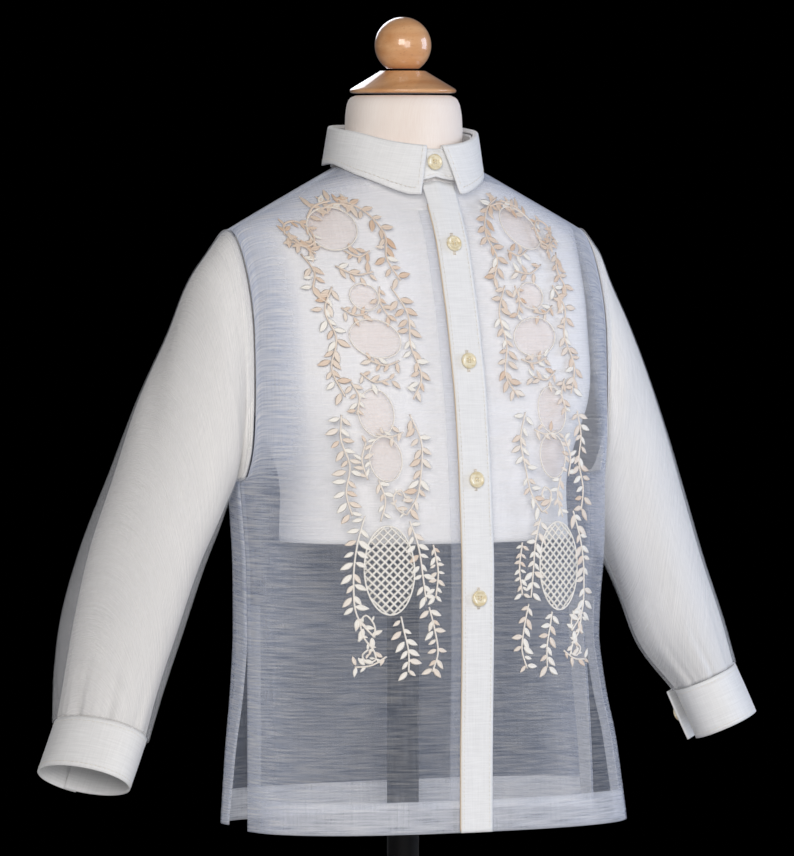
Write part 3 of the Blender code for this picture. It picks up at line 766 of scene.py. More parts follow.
@dataclass(frozen=True)
class Block:
    """The shirt's form: sections up the body, the shoulders' slope and the neck's oval.

    At each height the body is half a superellipse in front and half behind. Near the
    shoulder its depth shrinks by a quarter ellipse, so both sides meet on the shoulder seam.
    """

    columns: tuple[str, ...] = ("height", "right", "left", "front", "back", "side", "back_side")
    rows: tuple[tuple[float, ...], ...] = (
        (0, 134, 151, -106, 46, -30, 1),
        (60, 134, 141.5, -106, 43, -30, -12),
        (90, 134, 134, -107, 41, -30, -22),
        (129, 134, 127, -108, 39, -30, -30),
        (156, 134, 128, -108, 38, -29, -29),
        (187, 134, 132, -108, 38, -28, -28),
        (241, 135, 136, -104, 42, -20, -20),
        (262, 138.5, 139, -102, 44, -17, -17),
        (300, 142, 142, -97, 48, -12, -12),
        (350, 145, 145, -86, 50, -8, -8),
        (394, 147, 147, -73, 53, -5, -5),
        (423, 148, 148, -62, 55, -4, -4),
        (447, 149, 149, -55, 56, -4, -4),
        (490, 150, 150, -50, 54, -4, -4),
    )
    blur: float = 8.0
    front_power: float = 2.4
    back_power: float = 3.0
    shoulder_y: float = -4.0
    neck_side: float = 55.0
    neck_side_height: float = 451.0
    slope: float = 0.51
    front_roll: float = 74.0
    back_roll: float = 50.0
    neckline: tuple[float, float, float] = (51.0, 48.5, 45.0)
    neckline_y: float = 0.5
    armhole_x: float = 135.0
    underarm: float = 241.0
    seam_half: float = 0.2
    # Soft folds: how far each stands out, its two ends, and its half width.
    front_rucks: tuple[tuple[float, ...], ...] = (
        (2.6, -92, 118, -112, 44, 12),
        (-1.8, -74, 128, -90, 52, 12),
        (2.2, -98, 292, -118, 246, 11),
        (2.4, 100, 300, 122, 252, 11),
        (1.8, 96, 150, 104, 60, 13),
        (-1.6, 116, 140, 124, 70, 12),
        (-0.9, -46, 90, -52, 30, 14),
        (0.9, 44, 96, 50, 26, 14),
        (-1.2, -104, 222, -118, 168, 9),
        (1.0, 30, 60, 34, 8, 10),
    )
    back_rucks: tuple[tuple[float, ...], ...] = (
        (2.6, -62, 190, -54, 40, 15),
        (-2.0, -92, 170, -96, 60, 14),
        (2.2, 18, 160, 26, 30, 16),
        (2.8, 78, 210, 70, 50, 15),
        (-2.0, 102, 150, 108, 50, 13),
        (2.0, -100, 300, -118, 256, 11),
        (2.0, 98, 305, 119, 254, 11),
        (-1.2, -20, 210, -16, 110, 13),
        (1.2, 46, 120, 50, 20, 12),
    )

    def at(self, name: str, height: Any) -> Array:
        """One column at some heights: straight lines between the rows, then blurred.

        Args:
            name: the column.
            height: heights above the hem.
        Returns:
            The column's values there.
        """
        table = np.array(self.rows, float)
        ladder = np.arange(-80.0, 580.0, 2.0)
        values = np.interp(ladder, table[:, 0], table[:, self.columns.index(name)])
        reach = np.arange(-40.0, 42.0, 2.0)
        weights = np.exp(-0.5 * (reach / self.blur) ** 2)
        padded = np.pad(values, len(reach) // 2, mode="edge")
        return np.interp(height, ladder, np.convolve(padded, weights / weights.sum(), mode="valid"))

    def half(self, x: Any, height: Any) -> Array:
        """Half width of the body on the side that x is on."""
        return np.where(np.asarray(x) < 0, self.at("right", height), self.at("left", height))

    def shoulder(self, x: Any) -> Array:
        """Height of the shoulder seam: a straight slope from the neck."""
        return self.neck_side_height - self.slope * (np.abs(x) - self.neck_side)

    def rolled(self, x: Any, height: Any, length: float) -> Array:
        """Share of the depth left near the shoulder: a quarter ellipse, nought on the seam."""
        below = np.clip((self.shoulder(x) - height) / length, 0.0, 1.0)
        return np.sqrt(1.0 - (1.0 - below) ** 2)

    @staticmethod
    def rucks(table: Sequence, x: Array, height: Array) -> Array:
        """Height of the soft folds: a bell across each one's line, fading at its ends.

        Args:
            table: a row for each fold.
            x: places across.
            height: heights above the hem.
        Returns:
            How far the cloth stands out.
        """
        out = np.zeros(np.broadcast(x, height).shape)
        for size, first_x, first_height, last_x, last_height, reach in table:
            run_x, run_height = last_x - first_x, last_height - first_height
            length = math.hypot(run_x, run_height)
            along = ((x - first_x) * run_x + (height - first_height) * run_height) / length**2
            beside = ((x - first_x) * run_height - (height - first_height) * run_x) / length
            fading = np.clip(np.abs(along - 0.5) - 0.25, 0.0, None) * 4
            out = out + size * np.exp(-((beside / reach) ** 2) - fading**2)
        return out

    def depth(self, x: Any, height: Any, front: bool) -> Array:
        """Y of the front's or back's outer face.

        Args:
            x: places across.
            height: heights above the hem.
            front: the front, or else the back.
        Returns:
            Y, kept a hair off the seams that the two share.
        """
        x, height = np.asarray(x, float), np.asarray(height, float)
        power, length = (self.front_power, self.front_roll) if front else (self.back_power, self.back_roll)
        side = self.at("side" if front else "back_side", height)
        middle = self.at("front" if front else "back", height)
        share = np.clip(np.abs(x) / self.half(x, height), 0.0, 1.0)
        face = side + (middle - side) * (1.0 - share**power) ** (1.0 / power)
        sign = -1.0 if front else 1.0
        face = face + sign * self.rucks(self.front_rucks if front else self.back_rucks, x, height)
        left = self.rolled(x, height, length)
        seam = self.shoulder_y + (side - self.shoulder_y) * left + sign * self.seam_half
        face = self.shoulder_y + (face - self.shoulder_y) * left
        return np.minimum(face, seam) if front else np.maximum(face, seam)

    def lay_front(self, x: Array, height: Array, lift: Any) -> Array:
        """Points a lift above the front's outer face, along its normal (slope x, -1, slope z).

        Args:
            x: places across.
            height: heights above the hem.
            lift: distance off the face.
        Returns:
            Points in the round.
        """
        step = 0.5
        y = self.depth(x, height, True)
        slope_x = (self.depth(x + step, height, True) - self.depth(x - step, height, True)) / (2 * step)
        slope_z = (self.depth(x, height + step, True) - self.depth(x, height - step, True)) / (2 * step)
        normal = np.stack([slope_x, -np.ones_like(y), slope_z], axis=-1)
        normal /= np.linalg.norm(normal, axis=-1, keepdims=True)
        base = np.stack([np.broadcast_to(x, y.shape), y, np.broadcast_to(height, y.shape)], axis=-1)
        return base + normal * np.asarray(lift)[..., None]

    def neck_height(self, x: Array, front: bool) -> Array:
        """Where the front or back meets the neck seam's oval, found up a fine ladder.

        Args:
            x: places across.
            front: the front, or else the back.
        Returns:
            Heights, no higher than the shoulder seam.
        """
        ladder = np.linspace(400, 480, 401)
        sign, reach = (-1, self.neckline[1]) if front else (1, self.neckline[2])
        x = np.atleast_1d(np.asarray(x, float))
        rim = self.neckline_y + sign * reach * np.sqrt(np.clip(1 - (x / self.neckline[0]) ** 2, 0, None))
        face = self.depth(np.broadcast_to(x[:, None], (len(x), len(ladder))), ladder[None, :], front)
        outside = sign * (face - rim[:, None]) > 0
        top = np.where(outside, ladder[None, :], ladder[0]).max(axis=1)
        return np.minimum(top, self.shoulder(x))


BLOCK = Block()
CLOTH_WALL = 0.5
LAYER = 0.35  # air between a panel and what lies against it


@dataclass
class Panels:
    """The fronts and back, with their turned hems, vent facings and underlap facing."""

    block: Block = BLOCK
    front_start: float = 7.0
    join: float = 0.3
    front_hem: float = 2.0
    back_hem: float = 4.0
    hem: float = 22.0
    vent_top: float = 127.0
    facing_top: float = 156.0
    facing_share: float = 10 / 11  # of the columns that lie inside the vent facing
    lower: float = 346.0
    turn: float = 70.0  # how far below its top edge a panel starts to crowd its rows
    neck_share: float = 0.36
    crowding: float = 0.9
    # extra cover towards the side seams: partly the cloth seen edge-on, partly painted rim light
    side_edge_on_and_rim_light: float = 3.0
    yoke: float = 13.0  # depth over which the shoulder is doubled
    yoke_plies: float = 3.5
    facing_start: float = 109.0  # inner edge of the armhole facings
    facing_plies: float = 3.4
    lean_start: float = 330.0
    underlap: tuple[float, float] = (-17.6, 6.7)
    underlap_top: float = 424.0
    rows: int = 150
    columns: int = 84

    def across(self, share: Array, height: Array, start: float, side: Side) -> Array:
        """Distance from the centre line on the hanging part: crowded towards the side seam.

        Args:
            share: share of the way to the side.
            height: heights above the hem.
            start: how far the centre edge is from the centre line.
            side: which half.
        Returns:
            Distances from the centre line.
        """
        wide = self.block.half(side.value * np.ones_like(height), height)
        edge = np.where(height < self.block.underarm, wide, self.block.armhole_x)
        return start + (edge - start) * np.sin(share * np.pi / 2) ** self.crowding

    def panel(self, front: bool, side: Side, start: float, hem: float) -> Array:
        """Points of one half, hem row first, from its centre edge to its side.

        Args:
            front: the front, or else the back.
            side: which half.
            start: how far its centre edge is from the centre line.
            hem: its hem's height.
        Returns:
            Rows, columns and places. Lower rows are level, and the upper ones hang a set
            distance below the neck and shoulder seams.
        """
        block, columns = self.block, self.columns
        neck = round(columns * self.neck_share)
        neck_x = start + (block.neckline[0] - start) * np.sin(np.linspace(0, 1, neck + 1) * np.pi / 2)
        shoulder_x = np.linspace(block.neckline[0], block.armhole_x, columns - neck + 1)[1:]
        top_x = side.value * np.concatenate([neck_x, shoulder_x])
        top = np.minimum(block.neck_height(top_x, front), block.shoulder(top_x))
        top[neck + 1 :] = block.shoulder(top_x[neck + 1 :])
        lower = np.linspace(0.0, self.lower, self.rows)
        falls = self.turn * np.linspace(1.0, 0.0, 34) ** 1.8
        spare = (top - self.turn - self.lower - hem)[None, :] * ((lower / self.lower) ** 3)[:, None]
        height = np.concatenate([(lower[:, None] + hem + spare)[:-1], top[None, :] - falls[:, None]])
        share = np.broadcast_to(np.linspace(0.0, 1.0, columns + 1)[None, :], height.shape)
        hanging = self.across(share, height, start, side)
        rise = np.clip((height - self.lean_start) / (top - self.lean_start), 0.0, 1.0)
        rise = rise * rise * (3 - 2 * rise)
        x = side.value * hanging * (1 - rise) + top_x * rise
        return np.stack([x, block.depth(x, height, front), height], axis=-1)

    def seam_nearness(self, points: Array, edges: Sequence[str]) -> Array:
        """How near a sewn edge is, measured along the grid: FAR on the edge, down to nought.

        Args:
            points: the panel.
            edges: which of its first and last columns are sewn.
        Returns:
            Nearness at each point.
        """
        found = np.full(points.shape[:2], FAR)
        over, up = arc_lengths(points, 1), arc_lengths(points, 0)
        sewn = points[:, :, 2] > self.vent_top
        if "last" in edges:
            found = np.minimum(found, np.where(sewn, over[:, -1:] - over, FAR))
        if "first" in edges:
            found = np.minimum(found, np.where(sewn, over, FAR))
        shoulder = np.abs(points[-1, :, 0]) > self.block.neckline[0]
        return FAR - np.minimum(found, np.where(shoulder[None, :], up[-1:] - up, FAR))

    def crowded(self, points: Array) -> Array:
        """Extra plies: the yoke and the armhole facings, and towards the side seams extra cover that stands
        partly for the cloth seen edge-on and partly for painted rim light.

        Args:
            points: the panel.
        Returns:
            Plies to add at each point.
        """
        share = np.abs(points[..., 0]) / self.block.half(points[..., 0], points[..., 2])
        below = self.block.shoulder(points[..., 0]) - points[..., 2]
        doubled = self.yoke_plies * np.exp(-((below / self.yoke) ** 2))
        inward = np.clip((np.abs(points[..., 0]) - self.facing_start) / 15.0, 0.0, 1.0)
        above = np.clip((points[..., 2] - self.block.underarm + 6.0) / 30.0, 0.0, 1.0)
        faced = self.facing_plies * inward * above
        # the first term whitens the sides: the cloth seen edge-on, with painted rim light
        return self.side_edge_on_and_rim_light * np.clip(share, 0, 1) ** 12 + np.maximum(doubled, faced)

    def strip(
        self, front: bool, side: Side, start: float, hem: float, top: float, shares: Array
    ) -> Array:
        """Points of a band on the hanging part, from the hem to top, between two shares.

        Args:
            front: the front, or else the back.
            side: which half.
            start: how far its centre edge is from the centre line.
            hem: its lower height.
            top: its upper height.
            shares: shares of the way to the side.
        Returns:
            Rows, columns and places.
        """
        height = np.linspace(hem, top, max(6, round((top - hem) / 3)))[:, None]
        height, share = np.broadcast_arrays(height, shares[None, :])
        x = side.value * self.across(share, height, start, side)
        return np.stack([x, self.block.depth(x, height, front), height], axis=-1)

    def build(self) -> None:
        """All the body's cloth, each piece in place of its plain solid."""
        inside = -(CLOTH_WALL + LAYER)
        start = self.front_start
        for side, edge in ((Side.RIGHT, -start + self.join), (Side.LEFT, start + self.join)):
            word, flip = side.word, side is Side.RIGHT
            points = self.panel(True, side, edge, self.front_hem)
            open_work = PATTERN.drawn_out(points, side)
            facts = {"near_seam": self.seam_nearness(points, ["last"]), "drawn_out": open_work}
            facts["crowded"] = self.crowded(points)
            name = f"{word}_front_panel"
            panel = grid_piece(name, points, JUSI, flip=flip, thick=CLOTH_WALL, facts=facts)
            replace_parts(panel, f"front_{word}")
            for name, low, top, shares in (
                ("hem", 0.0, self.hem, np.linspace(0.0, self.facing_share - 0.004, 60)),
                ("vent_facing", 0.0, self.facing_top - 2.0, np.linspace(self.facing_share, 0.998, 10)),
            ):
                lining = self.strip(True, side, edge, self.front_hem + low, self.front_hem + top, shares)
                lining = moved(lining, inside, flip)
                finish = JUSI_HEM if name == "hem" else JUSI_FACING
                piece = grid_piece(
                    f"{word}_front_{name}", lining, finish, flip=flip, thick=CLOTH_WALL
                )
                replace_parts(piece, f"hem_front_{word}" if name == "hem" else f"vent_facing_front_{word}")
        self.build_back(inside)
        self.build_underlap(inside)

    def build_back(self, inside: float) -> None:
        """The back in one width, with its hem and facings inside it.

        Args:
            inside: how far in the hem and facings lie.
        """
        halves = [self.panel(False, side, 0.0, self.back_hem) for side in Side]
        points = np.concatenate([halves[0][:, :0:-1], halves[1]], axis=1)
        near = self.seam_nearness(points, ["first", "last"])
        facts = {"near_seam": near, "crowded": self.crowded(points)}
        panel = grid_piece("back_panel", points, JUSI, flip=True, thick=CLOTH_WALL, facts=facts)
        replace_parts(panel, "back")
        low, top = self.back_hem, self.back_hem + self.hem
        shares = np.linspace(0.0, self.facing_share - 0.004, 60)
        right, left = (self.strip(False, side, 0.0, low, top, shares) for side in Side)
        hem = moved(np.concatenate([right[:, :0:-1], left], axis=1), inside, flip=True)
        piece = grid_piece("back_hem", hem, JUSI_HEM, flip=True, thick=CLOTH_WALL)
        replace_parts(piece, "hem_back")
        for side in Side:
            shares = np.linspace(self.facing_share, 0.998, 10)
            facing = self.strip(False, side, 0.0, low, self.facing_top, shares)
            facing = facing[:, ::-1] if side is Side.RIGHT else facing
            facing = moved(facing, inside, flip=True)
            name = f"{side.word}_back_vent_facing"
            piece = grid_piece(name, facing, JUSI_FACING, flip=True, thick=CLOTH_WALL)
            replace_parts(piece, f"vent_facing_back_{side.word}")

    def build_underlap(self, inside: float) -> None:
        """The facing behind the right front's edge, under the placket.

        Args:
            inside: how far in it lies.
        """
        low, high = self.underlap
        rise = np.linspace(self.front_hem + self.hem, self.underlap_top, 110)
        x, height = np.meshgrid(np.linspace(low, high, 12), rise)
        points = self.block.lay_front(x, height, inside)
        piece = grid_piece("underlap_strip", points, JUSI_UNDERLAP, thick=CLOTH_WALL)
        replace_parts(piece, "underlap_facing")


@dataclass
class Placket:
    """The placket band down the left front's edge, a painted shadow line beside its free edge, and its
    stitching.
    """

    block: Block = BLOCK
    edges: tuple[float, float] = (-10.2, 13.6)
    lift: float = 1.3
    wall: float = 0.9
    stitch_in: float = 2.2

    def build(self) -> None:
        """The band rises to just below the neck seam."""
        x = np.linspace(self.edges[0], self.edges[1], 16)
        top = self.block.neck_height(x, True) - 1.5
        rise = np.linspace(0.0, 1.0, 190)[:, None]
        height = 2.0 + (top[None, :] - 2.0) * rise
        x = np.broadcast_to(x[None, :], height.shape)
        wave = 0.35 * np.sin(height / 23.0) + 0.25 * np.sin(height / 9.7 + 1.0)
        edge = np.abs((x - np.mean(self.edges)) / (self.edges[1] - np.mean(self.edges)))
        points = self.block.lay_front(x, height, self.lift + 0.25 * wave * edge)
        band = grid_piece("placket", points, BACKED, thick=self.wall)
        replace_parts(band, "placket_band")
        # the painted shadow line beside the band's free edge
        fold = self.painted_shadow_line()
        rows = [self.stitch_line(side) for side in (-1, 1)] + self.buttonholes()
        seams = strands("placket_stitches", rows, self.block.lay_front, THREAD_AND_SHADOWS)

    def stitch_line(self, side: int) -> Strands:
        """Stitches just inside one edge, from the hem to the collar.

        Args:
            side: below nought for the right edge.
        Returns:
            The stitches.
        """
        x = self.edges[0] + self.stitch_in if side < 0 else self.edges[1] - self.stitch_in
        height = np.linspace(4.0, 424.0, 400)
        return stitches(np.stack([np.full_like(height, x), height], axis=-1), self.lift)

    def buttonholes(self) -> list[Strands]:
        """Two satin-stitched edges for each buttonhole, upright and a little longer than its button.

        Returns:
            The edges as strands.
        """
        rows = []
        for height in BUTTONS.heights:
            at = height + np.linspace(-7.4, 7.4, 9)
            for x in (BUTTONS.x - 0.6, BUTTONS.x + 0.6):
                path = np.stack([np.full_like(at, x), at], axis=-1)[None]
                rows.append(Strands(path, 0.55, 0.45, 0.3, CORD_SECTION, self.lift))
        return rows

    def painted_shadow_line(self) -> bpy.types.Object:
        """A painted shadow line: a fine tan strip beside the band's free edge, where the band's shadow falls
        on the front.

        Returns:
            The piece.
        """
        height = np.linspace(3.0, 427.0, 160)
        path = np.stack([np.full_like(height, self.edges[0] - 0.25), height], axis=-1)[None]
        # shade 0.7 gives the painted shadow its tan
        group = Strands(path, 0.45, 0.6, 0.7, CORD_SECTION, 0.5)
        return strands("placket_fold_edge", [group], self.block.lay_front, THREAD_AND_SHADOWS)


class Laid:
    """A grid of points as a surface: places in millimetres across and up, and a lift."""

    def __init__(self, points: Array, flip: bool = False) -> None:
        """Keeps the grid, turned so that its normals are outwards, and its mean width and length.

        Args:
            points: rows, columns and places.
            flip: whether its normals point inwards.
        """
        points = points[:, ::-1] if flip else points
        self.points = points
        self.normals = moved(points, 1.0) - points
        self.width = float(arc_lengths(points, 1)[:, -1].mean())
        self.length = float(arc_lengths(points, 0)[-1].mean())

    def __call__(self, across: Array, up: Array, lift: Any) -> Array:
        """Points by straight lines between the grid's four nearest, moved out by lift.

        Args:
            across: places across, in millimetres.
            up: places up.
            lift: distance off the surface.
        Returns:
            Points in the round.
        """
        rows, columns = self.points.shape[:2]
        row = np.clip(up / self.length * (rows - 1), 0, rows - 1.001)
        column = np.clip(across / self.width * (columns - 1), 0, columns - 1.001)
        r, c = row.astype(int), column.astype(int)
        t, s = (row - r)[..., None], (column - c)[..., None]

        def between(grid: Array) -> Array:
            """The grid's value between its points."""
            low = grid[r, c] * (1 - s) + grid[r, c + 1] * s
            return low * (1 - t) + (grid[r + 1, c] * (1 - s) + grid[r + 1, c + 1] * s) * t

        return between(self.points) + between(self.normals) * np.asarray(lift)[..., None]

    def line(self, first: tuple[float, float], last: tuple[float, float], count: int = 200) -> Array:
        """A straight line of places between two, negative ones counted back from the far edges.

        Args:
            first: where it starts.
            last: where it ends.
            count: how many places.
        Returns:
            The places.
        """
        size = np.array([self.width, self.length])
        ends = [np.where(np.array(end) < 0, size + end, end) for end in (first, last)]
        share = np.linspace(0, 1, count)[:, None]
        return ends[0] * (1 - share) + ends[1] * share

    def border(self, inset: float) -> list[Array]:
        """Lines a little inside its four edges.

        Args:
            inset: how far inside.
        Returns:
            Four lines.
        """
        far = -inset
        corners = ((inset, inset), (far, inset), (far, far), (inset, far), (inset, inset))
        return [self.line(first, last) for first, last in zip(corners, corners[1:])]


# ---------------------------------------------------------------- sleeves and cuffs


@dataclass
class Sleeve:
    """One sleeve with its lining and cuff.

    Each ring is an oval between an outer and an inner point, turned a little about the upright.
    Folds are troughs pressed in along lines that run from ring to ring.
    """

    side: Side
    rings: tuple[tuple[float, ...], ...]
    folds: tuple[tuple[float, ...], ...]
    opening: tuple[float, float]
    button_back: float
    lining: tuple[tuple[float, ...], ...] = (
        (1.2, 1.2, 0),
        (1.2, 1.2, 0),
        (1.2, 1.2, 0),
        (1.5, 1.6, 0.2),
        (3, 4, 1),
        (5, 6, 2),
        (7, 7, 4),
        (6, 6, 3),
        (3, 3, 0),
    )
    sides: int = 120
    steps: int = 120
    gap: float = 1.1
    cuff: tuple[float, float] = (35.5, 22.5)
    cuff_seam: float = 0.5
    cuff_length: float = 37.0
    lap_lift: float = 2.2
    flare: float = 6.0
    wall: float = 1.3

    def frame_at(self, ring: Array) -> tuple[Array, ...]:
        """Centres, long and cross axes and half sizes at some places along the sleeve.

        Args:
            ring: places along, nought at the first oval.
        Returns:
            Centres, long axes, cross axes, half lengths and half widths.
        """
        table = np.array(self.rings, float)
        values = smooth(table, np.arange(len(table)), np.atleast_1d(ring)).T
        outer, outer_height, inner, inner_height, y, along, turn = values
        turn, wearer = np.radians(turn), self.side.value
        width, rise = (outer - inner) / 2, (outer_height - inner_height) / 2
        across = np.hypot(width, rise)
        centre = np.stack([wearer * (outer + inner) / 2, y, (outer_height + inner_height) / 2], axis=-1)
        level = np.zeros_like(turn)
        long_axis = np.stack([wearer * np.sin(turn), np.cos(turn), level], axis=-1)
        outward = np.stack([wearer * np.cos(turn), -np.sin(turn), level], axis=-1)
        cross = (width[:, None] * outward + rise[:, None] * np.array([0.0, 0.0, 1.0])) / across[:, None]
        return centre, long_axis, cross, along, across

    def tube(self, ring: Array, angles: Array, lined: bool) -> Array:
        """Ovals at some places along the sleeve, with the folds pressed in.

        Args:
            ring: places along, nought at the first oval.
            angles: places round.
            lined: the lining, which is narrower, or else the sleeve.
        Returns:
            Rings, angles and places.
        """
        centre, long_axis, cross, along, across = self.frame_at(ring)
        if lined:
            table = np.array(self.lining, float)
            less, thinner, shift = smooth(table, np.arange(len(table)), ring).T
            centre = centre - cross * shift[:, None]
            along, across = along - less, across - thinner
        round_long = (along[:, None] * np.cos(angles))[..., None] * long_axis[:, None]
        round_cross = (across[:, None] * np.sin(angles))[..., None] * cross[:, None]
        points = centre[:, None] + round_long + round_cross
        inwards = centre[:, None] - points
        inwards /= np.linalg.norm(inwards, axis=-1, keepdims=True)
        return points + inwards * self.fold_depth(ring, angles)[:, :, None]

    def fold_depth(self, ring: Array, angles: Array) -> Array:
        """Troughs with a bell section, and gathers that die out two rings above the cuff.

        Args:
            ring: places along.
            angles: places round.
        Returns:
            How far in each point is pressed.
        """
        depth = np.zeros((len(ring), len(angles)))
        ring = ring[:, None]
        for size, first, turn, last, last_turn, reach in self.folds:
            along = (ring - first) / (last - first)
            middle = turn + (last_turn - turn) * along
            beside = (np.degrees(angles)[None, :] - middle + 180) % 360 - 180
            fading = np.clip(np.abs(along - 0.5) - 0.25, 0.0, None) * 4
            depth += size * np.exp(-((beside / reach) ** 2) - fading**2)
        near = np.clip(ring - len(self.rings) + 3.2, 0.0, 2.2) / 2.2
        pleats = 0.9 * np.cos(9 * angles) + 0.45 * np.cos(17 * angles + 1.3)
        pleats = pleats + 0.3 * np.cos(26 * angles + 0.4)
        return depth + near**2 * pleats[None, :]

    def armhole(self, angles: Array) -> Array:
        """The armhole's loop beside the panels' edges: behind where the cosine is positive.

        Args:
            angles: places round.
        Returns:
            The loop.
        """
        tip = float(BLOCK.shoulder(BLOCK.armhole_x))
        height = (tip + BLOCK.underarm) / 2 + (tip - BLOCK.underarm) / 2 * np.sin(angles)
        x = np.full_like(height, self.side.value * BLOCK.armhole_x)
        behind = BLOCK.depth(x, height, False)
        before = BLOCK.depth(x, height, True)
        share = np.clip(np.cos(angles) * 8 + 0.5, 0.0, 1.0)
        y = before + (behind - before) * share
        return np.stack([x + self.side.value * self.gap, y, height], axis=-1)

    def build(self) -> None:
        """The sleeve, then its lining, and the cuff with its painted gather shadow."""
        angles = np.arange(self.sides) * 2 * np.pi / self.sides
        flip, word = self.side is Side.RIGHT, self.side.word
        ring = np.linspace(0.0, len(self.rings) - 1.0, self.steps)
        tube = self.tube(ring, angles, False)
        knots = np.array([-0.3, 0.0, 0.12, 0.24])
        start = self.tube(knots[1:], angles, False)
        head = np.concatenate([self.armhole(angles)[None], start])
        head = smooth(head, knots, np.linspace(-0.3, 0, 6)[:-1])
        points = np.concatenate([head, tube])
        from_top = arc_lengths(points, 0)
        underarm = np.abs((np.degrees(angles) - 262 + 180) % 360 - 180)[None, :] / 360 * 220
        near = FAR - np.clip(np.minimum(from_top, underarm + 2.0), 0, FAR)
        name = f"{word}_sleeve"
        facts = {"near_seam": near}
        sleeve = grid_piece(
            name, points, JUSI_SLEEVE, True, flip, CLOTH_WALL, Wall.OUTWARDS, facts
        )
        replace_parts(sleeve, f"sleeve_{word}")
        lined = self.tube(ring, angles, True)
        lined = np.concatenate([head + (head.mean(axis=1, keepdims=True) - head) * 0.02, lined])
        lining = grid_piece(f"{name}_lining", lined, LAWN, True, flip, CLOTH_WALL, Wall.OUTWARDS)
        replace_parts(lining, f"sleeve_lining_{word}")
        self.build_cuff(word)

    def build_cuff(self, word: str) -> None:
        """A band below the sleeve: lapped where it is buttoned, standing apart where it isn't.

        Args:
            word: the side's word.
        """
        last = np.array([len(self.rings) - 1.0])
        centre, long_axis, cross = (part[0] for part in self.frame_at(last)[:3])
        down = np.cross(long_axis, cross)
        down = -down if down[2] > 0 else down
        opening, lap = np.radians(self.opening)
        share = np.linspace(0, 1, 150)
        angles = opening - share * (2 * np.pi + lap)
        if lap > 0:
            swell = self.lap_lift * np.clip((share - 0.82) / 0.14, 0, 1)
        else:
            swell = self.flare * np.clip((share - 0.86) / 0.14, 0, 1) ** 2
        along, across = (self.cuff[0] + swell) * np.cos(angles), (self.cuff[1] + swell) * np.sin(angles)
        ring = centre + along[:, None] * long_axis + across[:, None] * cross
        drops = self.cuff_seam + self.cuff_length * np.linspace(0.0, 1.0, 16)
        points = ring + drops[:, None, None] * down
        dent = 0.35 * np.sin(5 * angles + 1)[None, :] * np.sin(np.linspace(0, np.pi, 16))[:, None]
        flip = self.side is Side.LEFT
        points = moved(points, dent[:, :, None], flip)
        cuff = grid_piece(f"{word}_cuff", points, BACKED, False, flip, self.wall, Wall.OUTWARDS)
        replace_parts(cuff, f"cuff_{word}")
        face = Laid(points, flip)
        rows = [stitches(line, self.wall) for line in face.border(3.0)]
        # the painted gather shadow: a dark tan cord along the top of the cuff
        rows.append(Strands(self.painted_gather_shadow(face)[None], 0.45, 0.7, 0.95, CORD_SECTION, self.wall * 0.4))
        seams = strands(f"{word}_cuff_stitches", rows, face, THREAD_AND_SHADOWS)
        place = angles[-1] + np.radians(self.button_back)
        before, point, after = (
            np.array([np.interp(place + turn, angles[::-1], ring[::-1, axis]) for axis in range(3)])
            for turn in (-0.12, 0.0, 0.12)
        )
        out = np.cross(after - before, down)
        out = out if np.dot(out, point - centre) > 0 else -out
        middle = point + 0.5 * self.cuff_length * down
        BUTTONS.add(f"{word}_cuff_button", f"cuff_button_{word}", middle, out, 2.2)

    def painted_gather_shadow(self, face: Laid) -> Array:
        """A painted shadow where the gathered sleeve meets the cuff: a dark tan cord along the seam, wavering
        by half a millimetre.

        Args:
            face: the cuff's surface.
        Returns:
            Places along the seam.
        """
        line = face.line((1.0, 0.6), (-1.0, 0.6), 260)
        line[:, 1] += 0.35 * np.sin(line[:, 0] / 2.1) * np.sin(line[:, 0] / 7.3)
        return line


# ---------------------------------------------------------------- collar


